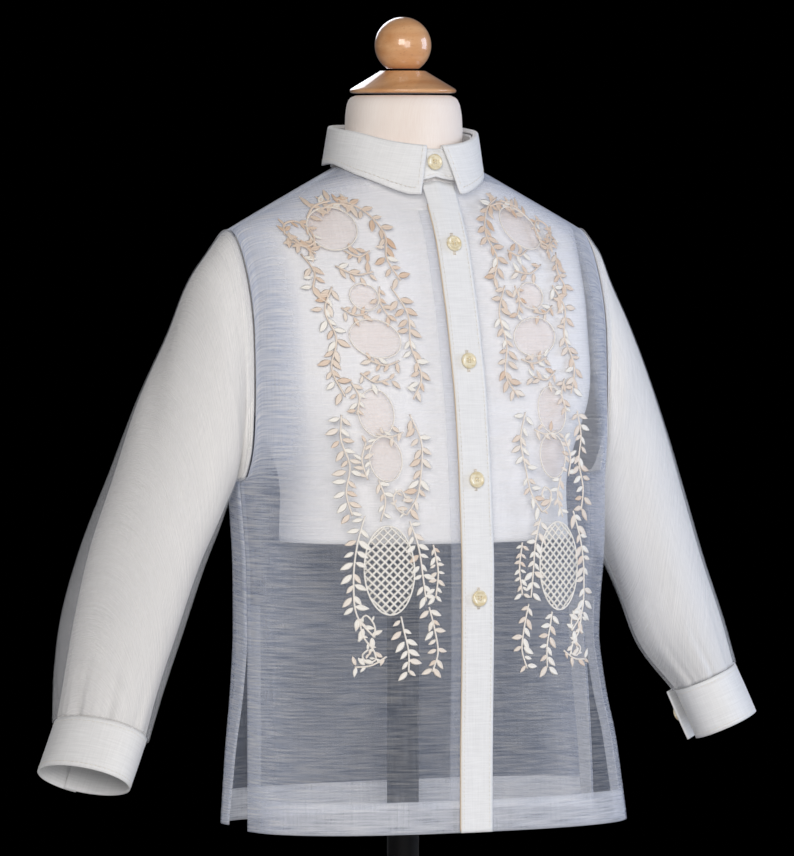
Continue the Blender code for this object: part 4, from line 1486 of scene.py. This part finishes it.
@dataclass
class Collar:
    """The collar: a lapped stand on the neck seam, and a leaf that folds down over it."""

    lap: float = 15.0
    lift: float = 2.1
    seam: float = 1.9
    lean: float = 3.0
    below_fold: float = 3.0
    heights: tuple[tuple[float, ...], ...] = (
        (-52, 467, 434.5),
        (-40, 471, 442),
        (-24, 476, 448.5),
        (0, 479, 455),
        (24, 481, 454),
        (52, 482, 456),
    )
    leaf_top: tuple[float, float, float] = (52.6, 51.0, 48.5)
    leaf_edge: tuple[float, float, float] = (56.0, 57.0, 54.0)
    right_edge: tuple[float, float] = (-7.0, -14.0)
    left_edge: tuple[float, float] = (5.5, 17.5)
    wall: float = 1.2

    def height_at(self, y: Array, column: int) -> Array:
        """Height of the fold or the leaf's edge at a depth, by a smooth curve."""
        table = np.array(self.heights, float)
        return smooth(table[:, column], table[:, 0], np.clip(y, -52, 52).ravel()).reshape(y.shape)

    def build(self) -> None:
        """Both pieces, with their edge stitching."""
        block = BLOCK
        share = np.linspace(0, 1, 160)
        lap = math.radians(self.lap)
        angles = -np.pi / 2 + lap - share * (2 * np.pi + 2 * lap)
        swell = self.lift * np.clip((share - 0.80) / 0.12, 0, 1)
        x = block.neckline[0] * np.cos(angles)
        in_front = np.sin(angles) < 0
        base = np.where(in_front, block.neck_height(x, True), block.neck_height(x, False)) + self.seam
        reach = np.where(in_front, block.neckline[1], block.neckline[2])
        top = self.height_at(block.neckline_y + reach * np.sin(angles), 1) - self.below_fold
        rings = []
        for step in np.linspace(0.0, 1.0, 14):
            wide = block.neckline[0] + swell - self.lean * step
            deep = block.neckline_y + (reach + swell - self.lean * step) * np.sin(angles)
            rings.append(np.stack([wide * np.cos(angles), deep, base + (top - base) * step], axis=-1))
        points = np.array(rings)
        stand = grid_piece("collar_stand_band", points, BACKED, flip=True, thick=self.wall)
        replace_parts(stand, "collar_stand")
        face = Laid(points, True)
        seams = strands(
            "collar_stand_stitches", [stitches(line) for line in face.border(2.6)], face, THREAD_AND_SHADOWS
        )
        self.build_leaf()

    def ring(self, step: float, narrower: float, rise: float) -> Array:
        """One line of the leaf from the right point round the back to the left point.

        Args:
            step: share of the way from the fold to the edge.
            narrower: how far inside the fold's oval, for the roll.
            rise: height over the line of the fold, for the roll.
        Returns:
            Places along the line.
        """
        wide, front, back = np.array(self.leaf_top) * (1 - step) + np.array(self.leaf_edge) * step
        right = self.right_edge[0] + (self.right_edge[1] - self.right_edge[0]) * step
        left = self.left_edge[0] + (self.left_edge[1] - self.left_edge[0]) * step
        angles = np.linspace(-np.pi / 2 + right / wide, -np.pi / 2 + left / wide - 2 * np.pi, 200)
        level = BLOCK.neckline_y + np.where(np.sin(angles) < 0, front, back) * np.sin(angles)
        y = level - narrower * np.sin(angles)
        fold, edge = self.height_at(level, 1), self.height_at(level, 2)
        height = fold + (edge - fold) * step + rise
        ripple = 0.5 * step**2 * np.sin(7 * angles + 0.6)
        x = (wide - narrower + ripple) * np.cos(angles)
        return np.stack([x, y + ripple * np.sin(angles), height], axis=-1)

    def build_leaf(self) -> None:
        """The leaf rises from the stand's top, rolls over in half an ellipse and falls outside."""
        turns = np.linspace(np.pi, 0.0, 9)
        rolled = [self.ring(0.0, 2.0 - 2.0 * math.cos(turn), 1.9 * math.sin(turn) - 1.6) for turn in turns]
        fall = [self.ring(step, 0.0, -1.6 * (1 - step) ** 3) for step in np.linspace(0.0, 1.0, 18)[1:]]
        points = np.array([self.ring(0.0, 4.0, -2.6)] + rolled + fall)
        leaf = grid_piece("collar_leaf_fold", points, BACKED, thick=self.wall)
        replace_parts(leaf, "collar_leaf")
        face = Laid(points)
        edge = [face.line((3.0, -3.0), (-3.0, -3.0)), face.line((3.0, 8.0), (3.0, -3.0))]
        edge.append(face.line((-3.0, 8.0), (-3.0, -3.0)))
        seams = strands("collar_leaf_stitches", [stitches(line) for line in edge], face, THREAD_AND_SHADOWS)


# ---------------------------------------------------------------- buttons


@dataclass(frozen=True)
class Buttons:
    """Four-hole shirt buttons, each sewn on with two bars of thread."""

    x: float = 1.7
    heights: tuple[float, ...] = (400.0, 321.0, 241.0, 161.0)
    profile: tuple[tuple[float, float], ...] = (
        (0.02, 1.7),
        (1.0, 1.7),
        (2.2, 1.7),
        (3.1, 1.72),
        (3.6, 1.95),
        (4.1, 2.3),
        (4.6, 2.4),
        (5.1, 2.15),
        (5.5, 1.6),
        (5.6, 1.2),
        (5.3, 0.5),
        (4.5, 0.0),
        (0.02, 0.0),
    )
    hole: float = 1.3
    hole_width: float = 0.62
    hole_depth: float = 1.2

    def build(self) -> None:
        """The stand's button and the four on the placket, square to the cloth under them."""
        block = BLOCK
        point = np.array([-1.5, block.neckline_y - block.neckline[1] - 1.05, 456.0])
        self.add("collar_button", "button_1", point, np.array([-0.03, -1.0, 0.15]), 0.9)
        for number, height in enumerate(self.heights, start=2):
            depth = float(block.depth(self.x, height, True))
            slope = float(block.depth(self.x, height + 1.0, True)) - depth
            point = np.array([self.x, depth, height])
            name = f"front_button_{number - 1}"
            self.add(name, f"button_{number}", point, np.array([0.0, -1.0, slope]), 1.8)

    def add(self, name: str, node: str, point: Array, normal: Array, lift: float) -> None:
        """One button with its thread.

        Args:
            name: the piece's name.
            node: the plain solid that it replaces.
            point: the place on the cloth.
            normal: the way that it faces.
            lift: how far its underside is off the point.
        """
        normal = normal / np.linalg.norm(normal)
        side = np.cross(np.array([0.0, 0.0, 1.0]), normal)
        side /= np.linalg.norm(side)
        up = np.cross(normal, side)

        def lay(x: Array, y: Array, rise: Any) -> Array:
            """Places on the button's face carried to points in the round."""
            parts = (x[..., None] * side, y[..., None] * up, (np.asarray(rise) + lift)[..., None] * normal)
            return point + parts[0] + parts[1] + parts[2]

        profile = np.array(self.profile)
        top = np.linspace(0.02, 3.1, 16)
        profile = np.concatenate([np.stack([top, np.full(16, 1.7)], axis=-1), profile[4:]])
        angles = np.arange(48) * 2 * np.pi / 48
        x, y = profile[:, :1] * np.cos(angles), profile[:, :1] * np.sin(angles)
        rise = np.broadcast_to(profile[:, 1:], x.shape).copy()
        for turn in np.arange(4) * np.pi / 2 + np.pi / 4:
            off = np.hypot(x - self.hole * np.cos(turn), y - self.hole * np.sin(turn)) / self.hole_width
            rise[:16] -= self.hole_depth * np.exp(-(off[:16] ** 4))
        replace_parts(grid_piece(name, lay(x, y, rise), SHELL, closed=True, flip=True), node)
        across = self.hole * math.cos(math.pi / 4)
        share = np.linspace(-1, 1, 7)
        paths = np.stack([np.stack([share * across, np.full(7, row * across)], axis=-1) for row in (-1, 1)])
        group = Strands(paths, 0.28, 0.35 + 0.4 * (1 - share**2), 0.2, CORD_SECTION, 1.3)
        strands(f"{name}_thread", [group], lay, THREAD_AND_SHADOWS)


BUTTONS = Buttons()


# ---------------------------------------------------------------- dress form and stand


@dataclass
class DressForm:
    """The limbless form: a torso on the shirt's own section rule, with a round neck.

    Turned parts stand on it and under it: a neck cap, a ball, the pole and the base.
    """

    torso: tuple[tuple[float, ...], ...] = (
        (198, 104, -100, 35, -32, 2.2),
        (248, 105, -97, 35, -30, 2.3),
        (270, 112, -94, 36.5, -28, 2.6),
        (290, 118, -91.5, 37.5, -25.5, 3),
        (350, 122, -79, 41, -16, 3.3),
        (385, 125, -69, 42, -9, 3.3),
        (410, 129, -60, 41, -6, 3),
        (440, 129, -46, 39, -4, 2.6),
    )
    neck: tuple[tuple[float, ...], ...] = (
        (446.5, 45, -1),
        (456, 41.6, -1),
        (480, 40.5, -1),
        (492, 39.6, -0.6),
        (497.5, 38.2, -0.3),
        (500.6, 36, 0),
        (502, 33, 0),
    )
    drop: float = 1.2
    bottom: float = 198.0
    shoulder_top: float = 440.0
    cap: tuple[tuple[float, float], ...] = (
        (0.02, 519),
        (15.6, 519),
        (16.5, 518.4),
        (35.6, 506.9),
        (37, 505.6),
        (36.2, 503.9),
        (34, 503.5),
        (0.02, 503.5),
    )
    ball_radius: float = 19.5
    ball_centre: float = 536.6
    ball_foot: float = 11.0
    pole_radius: float = 11.0
    base: tuple[tuple[float, float], ...] = (
        (0.02, -116),
        (17, -116),
        (20, -118),
        (22, -130),
        (30, -133),
        (118, -137),
        (127, -141),
        (130, -145.5),
        (128.5, -150),
        (0.02, -150),
    )

    def torso_ring(self, height: float, angles: Array) -> Array:
        """A torso section: a superellipse in front and another behind, rolled in at the shoulder.

        Args:
            height: height above the hem.
            angles: places round.
        Returns:
            The ring.
        """
        table = np.array(self.torso, float)
        values = smooth(table[:, 1:], table[:, 0], np.array([min(height, 439.0)]))[0]
        half, front, back, side, power = values
        block = BLOCK
        reach = block.neck_side + (block.neck_side_height - self.drop - height) / block.slope
        x = min(half, reach) * np.cos(angles)
        share = (1.0 - np.clip(np.abs(x) / (half + 0.01), 0, 1) ** power) ** (1.0 / power)
        share = np.where(np.abs(np.sin(angles)) < 1e-6, 0.0, share)
        in_front = np.sin(angles) < 0
        y = side + (np.where(in_front, front, back) - side) * share
        length = np.where(in_front, block.front_roll, block.back_roll)
        y = block.shoulder_y + (y - block.shoulder_y) * block.rolled(x, height + self.drop, length)
        return np.stack([x, y, np.full_like(x, height)], axis=-1)

    def build(self) -> None:
        """The form's cover, then the turned parts."""
        angles = np.arange(144) * 2 * np.pi / 144
        lower, upper = np.linspace(self.bottom, 385, 50), np.linspace(388, self.shoulder_top, 24)
        levels = np.concatenate([lower, upper])
        rings = [self.torso_ring(level, angles) for level in levels]
        table = np.array(self.neck, float)
        for height, radius, y in smooth(table, table[:, 0], np.linspace(446.5, 502, 40)):
            level = np.full_like(angles, height)
            rings.append(np.stack([radius * np.cos(angles), y + radius * np.sin(angles), level], axis=-1))
        first, last = rings[0], rings[-1]
        middle = first.mean(axis=0)
        below = [middle + (first - middle) * share for share in (0.001, 0.6, 0.985)]
        above = [last * [share, share, 1] for share in (0.9, 0.5, 0.001)]
        cover = grid_piece("form_cover", np.array(below + rings + above), JERSEY, closed=True)
        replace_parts(cover, "form_torso")
        foot = math.asin(self.ball_foot / self.ball_radius)
        turns = np.linspace(0.001, math.pi - foot, 48)
        size = self.ball_radius
        ball = [(size * math.sin(turn), self.ball_centre + size * math.cos(turn)) for turn in turns]
        ball.append((0.02, ball[-1][1]))
        low = self.bottom - 0.3
        pole = ((0.02, low), (self.pole_radius, low), (self.pole_radius, -115.7), (0.02, -115.7))
        self.turned("neck_cap_disc", rounded(self.cap), BEECH, "wood", "neck_cap")
        self.turned("neck_ball", np.array(ball), BEECH, "wood", "finial_ball")
        self.turned("stand_pole", rounded(pole), STEEL, "iron", "pole")
        self.turned("stand_base", rounded(self.base), STEEL, "iron", "base")

    @staticmethod
    def turned(name: str, profile: Array, finish: Finish, slot: str, node: str) -> None:
        """A turned piece: the profile's radii and heights carried round the upright.

        Args:
            name: the piece's name.
            profile: radii and heights.
            finish: its material.
            slot: not used.
            node: the plain solid that it replaces.
        """
        angles = np.arange(96) * 2 * np.pi / 96
        x, y = profile[:, :1] * np.cos(angles), profile[:, :1] * np.sin(angles)
        points = np.stack([x, y, np.broadcast_to(profile[:, 1:], x.shape)], axis=-1)
        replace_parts(grid_piece(name, points, finish, closed=True, flip=True), node)


def rounded(profile: Sequence, radius: float = 1.2) -> Array:
    """A profile with its corners turned into small parabolas.

    Args:
        profile: radii and heights.
        radius: how far from a corner the bend starts.
    Returns:
        The longer profile.
    """
    points = np.array(profile, float)
    out = [points[:1]]
    for before, corner, after in zip(points, points[1:], points[2:]):
        back, on = before - corner, after - corner
        reach = min(radius, 0.45 * np.linalg.norm(back), 0.45 * np.linalg.norm(on))
        first, last = corner + back / np.linalg.norm(back) * reach, corner + on / np.linalg.norm(on) * reach
        share = np.linspace(0, 1, 6)[:, None]
        out.append(first * (1 - share) ** 2 + 2 * corner * share * (1 - share) + last * share**2)
    return np.concatenate(out + [points[-1:]])


# ---------------------------------------------------------------- embroidery


@dataclass(frozen=True)
class Oval:
    """An oval of drawn-thread open work, and the netting worked over it."""

    u: float
    v: float
    half_u: float
    half_v: float
    tilt: float
    pitch: float
    width: float
    shade: float
    slant: float = 45.0
    rim_half: float = 0.5

    def local(self, u: Array, v: Array) -> tuple[Array, Array]:
        """Places in the oval's own turned axes, where its edge is at one.

        Args:
            u: places across the pattern.
            v: places up it.
        Returns:
            Places across and up in the oval's axes.
        """
        turn = math.radians(self.tilt)
        du, dv = u - self.u, v - self.v
        across = (du * math.cos(turn) + dv * math.sin(turn)) / self.half_u
        return across, (dv * math.cos(turn) - du * math.sin(turn)) / self.half_v

    def world(self, across: Array, up: Array) -> Array:
        """The other way: places in the pattern from the oval's own axes, in millimetres.

        Args:
            across: distance along its first axis.
            up: distance along its second.
        Returns:
            Places in the pattern.
        """
        turn = math.radians(self.tilt)
        u = self.u + across * math.cos(turn) - up * math.sin(turn)
        return np.stack([u, self.v + across * math.sin(turn) + up * math.cos(turn)], axis=-1)

    def rim(self) -> Strands:
        """A corded edge all round.

        Returns:
            The cord.
        """
        turn = np.linspace(0, 2 * np.pi, 49)
        path = self.world(self.half_u * np.cos(turn), self.half_v * np.sin(turn))
        return Strands(path[None], self.rim_half, 0.4, self.shade * 0.8, CORD_SECTION)

    def netting(self) -> Strands:
        """Two sets of threads, each cut to its chord of the oval.

        Returns:
            The threads.
        """
        paths = []
        for slant in (self.slant, self.slant + 90.0):
            turn = math.radians(slant)
            along = np.array([math.cos(turn), math.sin(turn)])
            beside = np.array([-math.sin(turn), math.cos(turn)])
            size = np.array([self.half_u, self.half_v])
            reach = float(np.linalg.norm(beside * size))
            offs = np.arange(-reach + self.pitch / 2, reach, self.pitch)
            # Where a line crosses the oval: the roots of a t^2 + 2 b t + c = 0.
            a = ((along / size) ** 2).sum()
            b = offs * (along * beside / size**2).sum()
            c = offs**2 * ((beside / size) ** 2).sum() - 1
            spread = np.sqrt(np.clip(b**2 - a * c, 0, None)) / a
            t = (-b / a)[:, None] + spread[:, None] * np.linspace(-1, 1, 6)[None, :]
            places = t[..., None] * along + offs[:, None, None] * beside
            paths.append(self.world(places[..., 0], places[..., 1]))
        return Strands(np.concatenate(paths), self.width / 2, 0.14, self.shade, THREAD_SECTION)


@dataclass(frozen=True)
class Vine:
    """A stem and the leaves along it: its length, their spacing and their shade."""

    points: tuple[tuple[float, float], ...]
    leaf: float = 9.0
    pitch: float = 7.5
    shade: float = 0.15
    stem: float = 0.65


@dataclass(frozen=True)
class Pattern:
    """The embroidery up each front: drawn-thread ovals among leafy vines.

    Places are measured outwards from a line up the middle of the pattern, and up from its foot.
    """

    foot: float = 110.0
    heights: tuple[float, ...] = (110.0, 250.0, 330.0, 430.0)
    right: tuple[float, ...] = (60.0, 62.0, 67.0, 76.0)
    left: tuple[float, ...] = (69.0, 66.0, 62.0, 57.0)
    ovals: tuple[Oval, ...] = (
        Oval(4, 301, 17, 13, -35, 2.6, 0.4, 0.16),
        Oval(-2, 255, 10, 9, 0, 2.6, 0.4, 0.16),
        Oval(-4, 227, 17.5, 13, 10, 2.6, 0.4, 0.16),
        Oval(3, 177, 12, 16, 0, 2.6, 0.4, 0.14),
        Oval(0, 146, 11, 15, 0, 2.5, 0.55, 0.15),
        Oval(1, 71, 17, 30, 0, 4.0, 1.7, 0.03, 45, 0.6),
    )
    vines: tuple[Vine, ...] = (
        Vine(((16, 108), (22, 88), (25, 62), (22, 38), (12, 26)), 9.5, 7.5, 0.1),
        Vine(((12, 26), (12, 34), (18, 41), (21, 36), (17, 33)), 4.0, 9.0, 0.1),
        Vine(((22, 38), (19, 26), (12, 16), (11, 11), (16, 9), (20, 14), (16, 18)), 5.0, 9.0, 0.1),
        Vine(((4, 13), (14, 7), (25, 6)), 7.0, 6.5, 0.2),
        Vine(((-6, 40), (-8, 30), (-11, 16), (-11, 2)), 9.0, 7.0, 0.1),
        Vine(((-26, 46), (-30, 30), (-32, 14), (-28, 2)), 8.5, 6.8, 0.15),
        Vine(((-30, 88), (-33, 70), (-31, 52)), 6.5, 5.5, 0.2),
        Vine(((-14, 104), (-19, 88), (-22, 66), (-24, 50)), 8.5, 7.0, 0.15),
        Vine(((26, 176), (28, 160), (24, 142), (27, 122), (24, 108)), 9.0, 7.2, 0.25),
        Vine(((-20, 176), (-26, 158), (-24, 138), (-20, 120), (-12, 108)), 9.0, 7.2, 0.25),
        Vine(((-12, 108), (-6, 112), (-4, 122), (-9, 125), (-12, 119)), 4.0, 9.0, 0.2),
        Vine(((6, 132), (2, 118), (6, 104)), 8.0, 7.0, 0.25),
        Vine(((18, 262), (26, 246), (22, 228), (28, 206), (22, 188)), 9.0, 7.2, 0.4),
        Vine(((-22, 262), (-30, 244), (-28, 222), (-32, 200), (-24, 186)), 9.0, 7.2, 0.4),
        Vine(((10, 204), (2, 198), (-10, 200)), 7.5, 6.5, 0.4),
        Vine(((-6, 322), (-20, 314), (-28, 298), (-24, 280), (-30, 266)), 8.5, 7.0, 0.5),
        Vine(((30, 284), (26, 272), (30, 258), (22, 250)), 8.0, 7.0, 0.5),
        Vine(((12, 276), (0, 270), (-12, 272)), 7.5, 6.5, 0.45),
        Vine(((34, 297), (31, 304), (24, 306), (18, 300), (19, 292), (26, 289), (33, 293)), 5.5, 5.0, 0.55),
        Vine(((16, 308), (8, 316), (-4, 320)), 8.0, 6.8, 0.5),
        Vine(((34, 298), (28, 291), (21, 284)), 7.0, 6.5, 0.5),
        Vine(((-14, 286), (-5, 282), (3, 286)), 7.0, 6.0, 0.5),
        Vine(((15, 248), (8, 243), (-2, 244)), 7.0, 6.0, 0.45),
        Vine(((-18, 212), (-8, 209), (4, 213)), 7.0, 6.0, 0.4),
        Vine(((17, 198), (13, 188), (16, 176)), 7.0, 6.0, 0.35),
        Vine(((-14, 164), (-5, 161), (5, 163)), 7.0, 6.0, 0.3),
        Vine(((13, 132), (16, 145), (12, 158)), 7.0, 6.0, 0.25),
        Vine(((-16, 316), (-6, 318), (5, 314)), 7.0, 6.0, 0.5),
        Vine(((-14, 262), (-12, 252), (-16, 242)), 7.0, 6.0, 0.45),
    )
    lift: float = 0.05
    kept: float = 0.92  # share of the leaves that are worked

    def place(self, side: Side, places: Array) -> Array:
        """Pattern places carried to places across the front and heights.

        Args:
            side: which front.
            places: places in the pattern.
        Returns:
            Places across the front and heights.
        """
        height = places[..., 1] + self.foot
        middle = np.interp(height, self.heights, self.right if side is Side.RIGHT else self.left)
        return np.stack([side.value * (middle + places[..., 0]), height], axis=-1)

    def drawn_out(self, points: Array, side: Side) -> Array:
        """Where the fine netting is: one well inside an upper oval, and nought outside it.

        Args:
            points: the panel's points.
            side: which front.
        Returns:
            A share at each point.
        """
        height = points[..., 2]
        middle = np.interp(height, self.heights, self.right if side is Side.RIGHT else self.left)
        u, v = side.value * points[..., 0] - middle, height - self.foot
        found = np.zeros_like(u)
        for oval in self.ovals[:-1]:
            across, up = oval.local(u, v)
            found = np.maximum(found, np.clip((1.0 - np.hypot(across, up)) * 8 + 0.5, 0, 1))
        return found

    def leaves(self, vine: Vine, line: Array, rng: np.random.Generator) -> list[Strands]:
        """Leaves down both sides of a stem in turn, each a pad of satin stitch in two halves.

        A leaf's half width goes as the sine of the way along it, a little fuller near its stem.

        Args:
            vine: the stem.
            line: its smooth line.
            rng: the seeded source of small differences.
        Returns:
            The leaves of each side.
        """
        run = arc_lengths(line, 0)
        at = np.arange(2.0, run[-1], vine.pitch)
        roots = np.stack([np.interp(at, run, line[:, axis]) for axis in range(2)], axis=-1)
        ahead = np.stack([np.interp(at + 1.0, run, line[:, axis]) for axis in range(2)], axis=-1)
        headings = np.arctan2(ahead[:, 1] - roots[:, 1], ahead[:, 0] - roots[:, 0])
        found = []
        for hand in (-1, 1):
            kept = rng.uniform(0, 1, len(at)) < self.kept
            if not kept.any():
                continue
            root, heading = roots[kept], headings[kept]
            turn = heading + hand * np.radians(52 + rng.uniform(-24, 24, len(root)))
            size = vine.leaf * rng.uniform(0.7, 1.08, len(root))
            way = np.stack([np.cos(turn), np.sin(turn)], axis=-1)[:, None]
            bow = np.stack([-np.sin(turn), np.cos(turn)], axis=-1)[:, None]
            share = np.linspace(0.0, 1.0, 8)[None, :, None]
            stalk = 0.12 * size[:, None, None]
            start = root[:, None] + hand * 1.2 * rng.uniform(0, 1, len(root))[:, None, None] * way
            path = start + way * (stalk + share * size[:, None, None])
            path = path + bow * hand * -0.8 * share * (1 - share)
            along = np.linspace(0.0, 1.0, 8)
            half = 0.235 * size[:, None] * np.maximum(np.sin(np.pi * along**0.85), 0.06)[None, :] ** 0.85
            high = np.broadcast_to(0.16 + 0.24 * np.sin(np.pi * along), half.shape)
            white = rng.uniform(0, 1, len(root)) < 0.62 - vine.shade
            tones = np.where(white, 0.02, np.clip(vine.shade + rng.normal(0.1, 0.12, len(root)), 0.0, 1.0))
            found.append(Strands(path, half, high, tones, LEAF_SECTION))
        return found

    def build(self, side: Side) -> bpy.types.Object:
        """All the thread on one front, as one piece.

        Args:
            side: which front.
        Returns:
            The piece.
        """
        rng = np.random.default_rng(11 + side.value)
        groups = []
        for vine in self.vines:
            length = float(np.linalg.norm(np.diff(np.array(vine.points, float), axis=0), axis=-1).sum())
            line = curve(vine.points, max(8, round(length / 2.2)))
            groups.append(Strands(line[None], vine.stem, 0.5, vine.shade, CORD_SECTION))
            groups += self.leaves(vine, line, rng)
        groups += [oval.rim() for oval in self.ovals] + [self.ovals[-1].netting()]
        for group in groups:
            group.paths = self.place(side, group.paths)
            group.lift += self.lift
        return strands(f"{side.word}_front_embroidery", groups, BLOCK.lay_front, FLOSS)


PATTERN = Pattern()


# ---------------------------------------------------------------- studio


@dataclass(frozen=True)
class Softbox:
    """A square area lamp aimed at the middle of the shirt."""

    name: str
    place: tuple[float, float, float]
    size: float
    watts: float
    colour: str


@dataclass(frozen=True)
class Studio:
    """Soft light from all round, a pale round table, and a dark surround for sheer cloth."""

    aim: tuple[float, float, float] = (-0.00365, 0.00186, 0.423)
    azimuth: float = -27.0
    elevation: float = 2.0
    distance: float = 5.0
    lens: float = 304.9
    softboxes: tuple[Softbox, ...] = (
        Softbox("key_softbox", (-1.9, -3.0, 1.5), 1.5, 66.0, "#FFFBF7"),
        Softbox("front_softbox", (-0.6, -3.6, 0.9), 1.6, 42.0, "#FDFDFF"),
        Softbox("side_softbox", (2.6, -0.9, 0.9), 1.4, 36.0, "#DCE8FF"),
        Softbox("back_softbox", (0.6, 3.0, 1.8), 1.6, 26.0, "#F2F5FF"),
    )
    table_radius: float = 1.15

    def build(self) -> None:
        """Lamps, table, surround and camera."""
        aim = np.array(self.aim)
        for box in self.softboxes:
            lamp = bpy.data.lights.new(box.name, "AREA")
            lamp.shape = "SQUARE"
            lamp.size = box.size
            lamp.energy = box.watts
            lamp.color = tone(box.colour)[:3]
            held = bpy.data.objects.new(box.name, lamp)
            held.location = box.place
            self.point_at(held, aim - np.array(box.place))
            bpy.context.scene.collection.objects.link(held)
        self.build_table()
        self.build_surround()
        self.build_camera(aim)

    @staticmethod
    def point_at(held: bpy.types.Object, way: Array) -> None:
        """Turns an object so that it looks along way, with its top up."""
        x, y, z = (float(part) for part in way)
        held.rotation_euler = (math.atan2(math.hypot(x, y), -z), 0.0, math.atan2(y, x) - math.pi / 2)

    def build_table(self) -> None:
        """The round table top that the stand rests on."""
        angles = np.arange(128) * 2 * np.pi / 128
        radii = np.array([0.0002, self.table_radius * 0.5, self.table_radius])
        points = np.stack([radii[:, None] * np.cos(angles), radii[:, None] * np.sin(angles)], axis=-1)
        points = np.concatenate([points, np.full(points.shape[:2] + (1,), -0.0006)], axis=-1)
        mesh = bpy.data.meshes.new("round_table")
        row, place = (part.ravel() for part in np.meshgrid(np.arange(2), np.arange(128), indexing="ij"))
        corners = [row * 128 + place, (row + 1) * 128 + place]
        corners += [(row + 1) * 128 + (place + 1) % 128, row * 128 + (place + 1) % 128]
        mesh.from_pydata(points.reshape(-1, 3).tolist(), [], np.stack(corners, axis=-1).tolist())
        mesh.materials.append(PAINT.material())
        top = bpy.data.objects.new("round_table", mesh)
        bpy.context.scene.collection.objects.link(top)

    @staticmethod
    def build_surround() -> None:
        """A dark surround as seen, and a dim grey one as it lights the shirt."""
        world = bpy.data.worlds.new("studio")
        world.use_nodes = True
        tree = world.node_tree
        ground = tree.nodes["Background"]
        path = add_node(tree, "ShaderNodeLightPath", {}, {})
        ends = {"Factor": path.outputs["Is Camera Ray"], 6: (0.085, 0.088, 0.095, 1), 7: (0.0, 0.0, 0.0, 1)}
        colour = add_node(tree, "ShaderNodeMix", {"data_type": "RGBA"}, ends).outputs[2]
        tree.links.new(colour, ground.inputs["Color"])
        bpy.context.scene.world = world

    def build_camera(self, aim: Array) -> None:
        """A long lens at the front, a little to the wearer's right and a little above.

        Args:
            aim: what it looks at.
        """
        lens = bpy.data.cameras.new("camera")
        lens.lens = self.lens
        lens.sensor_width = 36.0
        lens.clip_end = 50.0
        turn, rise = math.radians(self.azimuth), math.radians(self.elevation)
        back = np.array([math.sin(turn) * math.cos(rise), -math.cos(turn) * math.cos(rise), math.sin(rise)])
        held = bpy.data.objects.new("camera", lens)
        held.location = (aim + back * self.distance).tolist()
        self.point_at(held, -back)
        bpy.context.scene.collection.objects.link(held)
        bpy.context.scene.camera = held


RIGHT_SLEEVE = Sleeve(
    Side.RIGHT,
    rings=(
        (147, 399, 138.5, 238, -7, 37, 2),
        (160, 379, 140, 233, -6, 40, 5),
        (172, 345, 143, 225, -3, 44, 9),
        (187, 303, 148, 213, 3, 47, 14),
        (202, 255, 154, 196, 9, 48.5, 19),
        (219, 203, 163, 172, 16, 49.5, 23),
        (230, 155, 174, 132, 24, 48, 26),
        (235, 116, 184, 91, 30, 42.5, 27),
        (235, 81, 193, 57, 34, 37, 27),
    ),
    folds=(
        (2.4, 0.6, 305, 3.6, 330, 15),
        (-1.6, 0.8, 275, 3.0, 296, 12),
        (1.8, 3.2, 262, 5.4, 300, 16),
        (1.6, 5.6, 225, 7.4, 250, 14),
        (2.0, 1.4, 60, 3.8, 95, 16),
    ),
    opening=(320.0, 16.0),
    button_back=14.0,
)
LEFT_SLEEVE = Sleeve(
    Side.LEFT,
    rings=(
        (144, 398, 138.5, 238, -7, 37, 2),
        (153, 378, 140, 234, -6, 40, 5),
        (169, 348, 142, 227, -4, 43.5, 9),
        (186, 314, 146, 218, 0, 45, 13),
        (204, 271, 152, 204, 3, 46, 18),
        (222, 225, 161, 186, 8, 47, 22),
        (240, 179, 178, 157, 13, 47, 25),
        (259, 135, 199, 116, 18, 44, 27),
        (273, 102, 230, 83, 23, 37, 27),
    ),
    folds=(
        (2.2, 2.2, 268, 4.8, 300, 15),
        (1.8, 4.4, 245, 6.6, 262, 14),
        (1.7, 5.8, 315, 7.6, 300, 14),
        (-1.4, 3.0, 330, 5.2, 322, 12),
        (2.0, 1.2, 75, 4.2, 60, 16),
    ),
    opening=(256.0, -26.0),
    button_back=10.0,
    lining=((1.2, 1.2, 0),) * 4 + ((1.5, 1.5, 0), (2, 2, 0), (2, 2, 0), (2, 2, 0), (2.5, 2.5, 0)),
)


def main() -> None:
    """Builds the form, the shirt and the studio."""
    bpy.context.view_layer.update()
    DressForm().build()
    Panels().build()
    Placket().build()
    for side in Side:
        PATTERN.build(side)
    for sleeve in (RIGHT_SLEEVE, LEFT_SLEEVE):
        sleeve.build()
    Collar().build()
    BUTTONS.build()
    Studio().build()
    scene = bpy.context.scene
    scene.view_settings.view_transform = "Standard"
    scene.cycles.transparent_max_bounces = 32


if __name__ == "__main__":
    logging.basicConfig(level=logging.INFO, format="%(message)s")
    main()
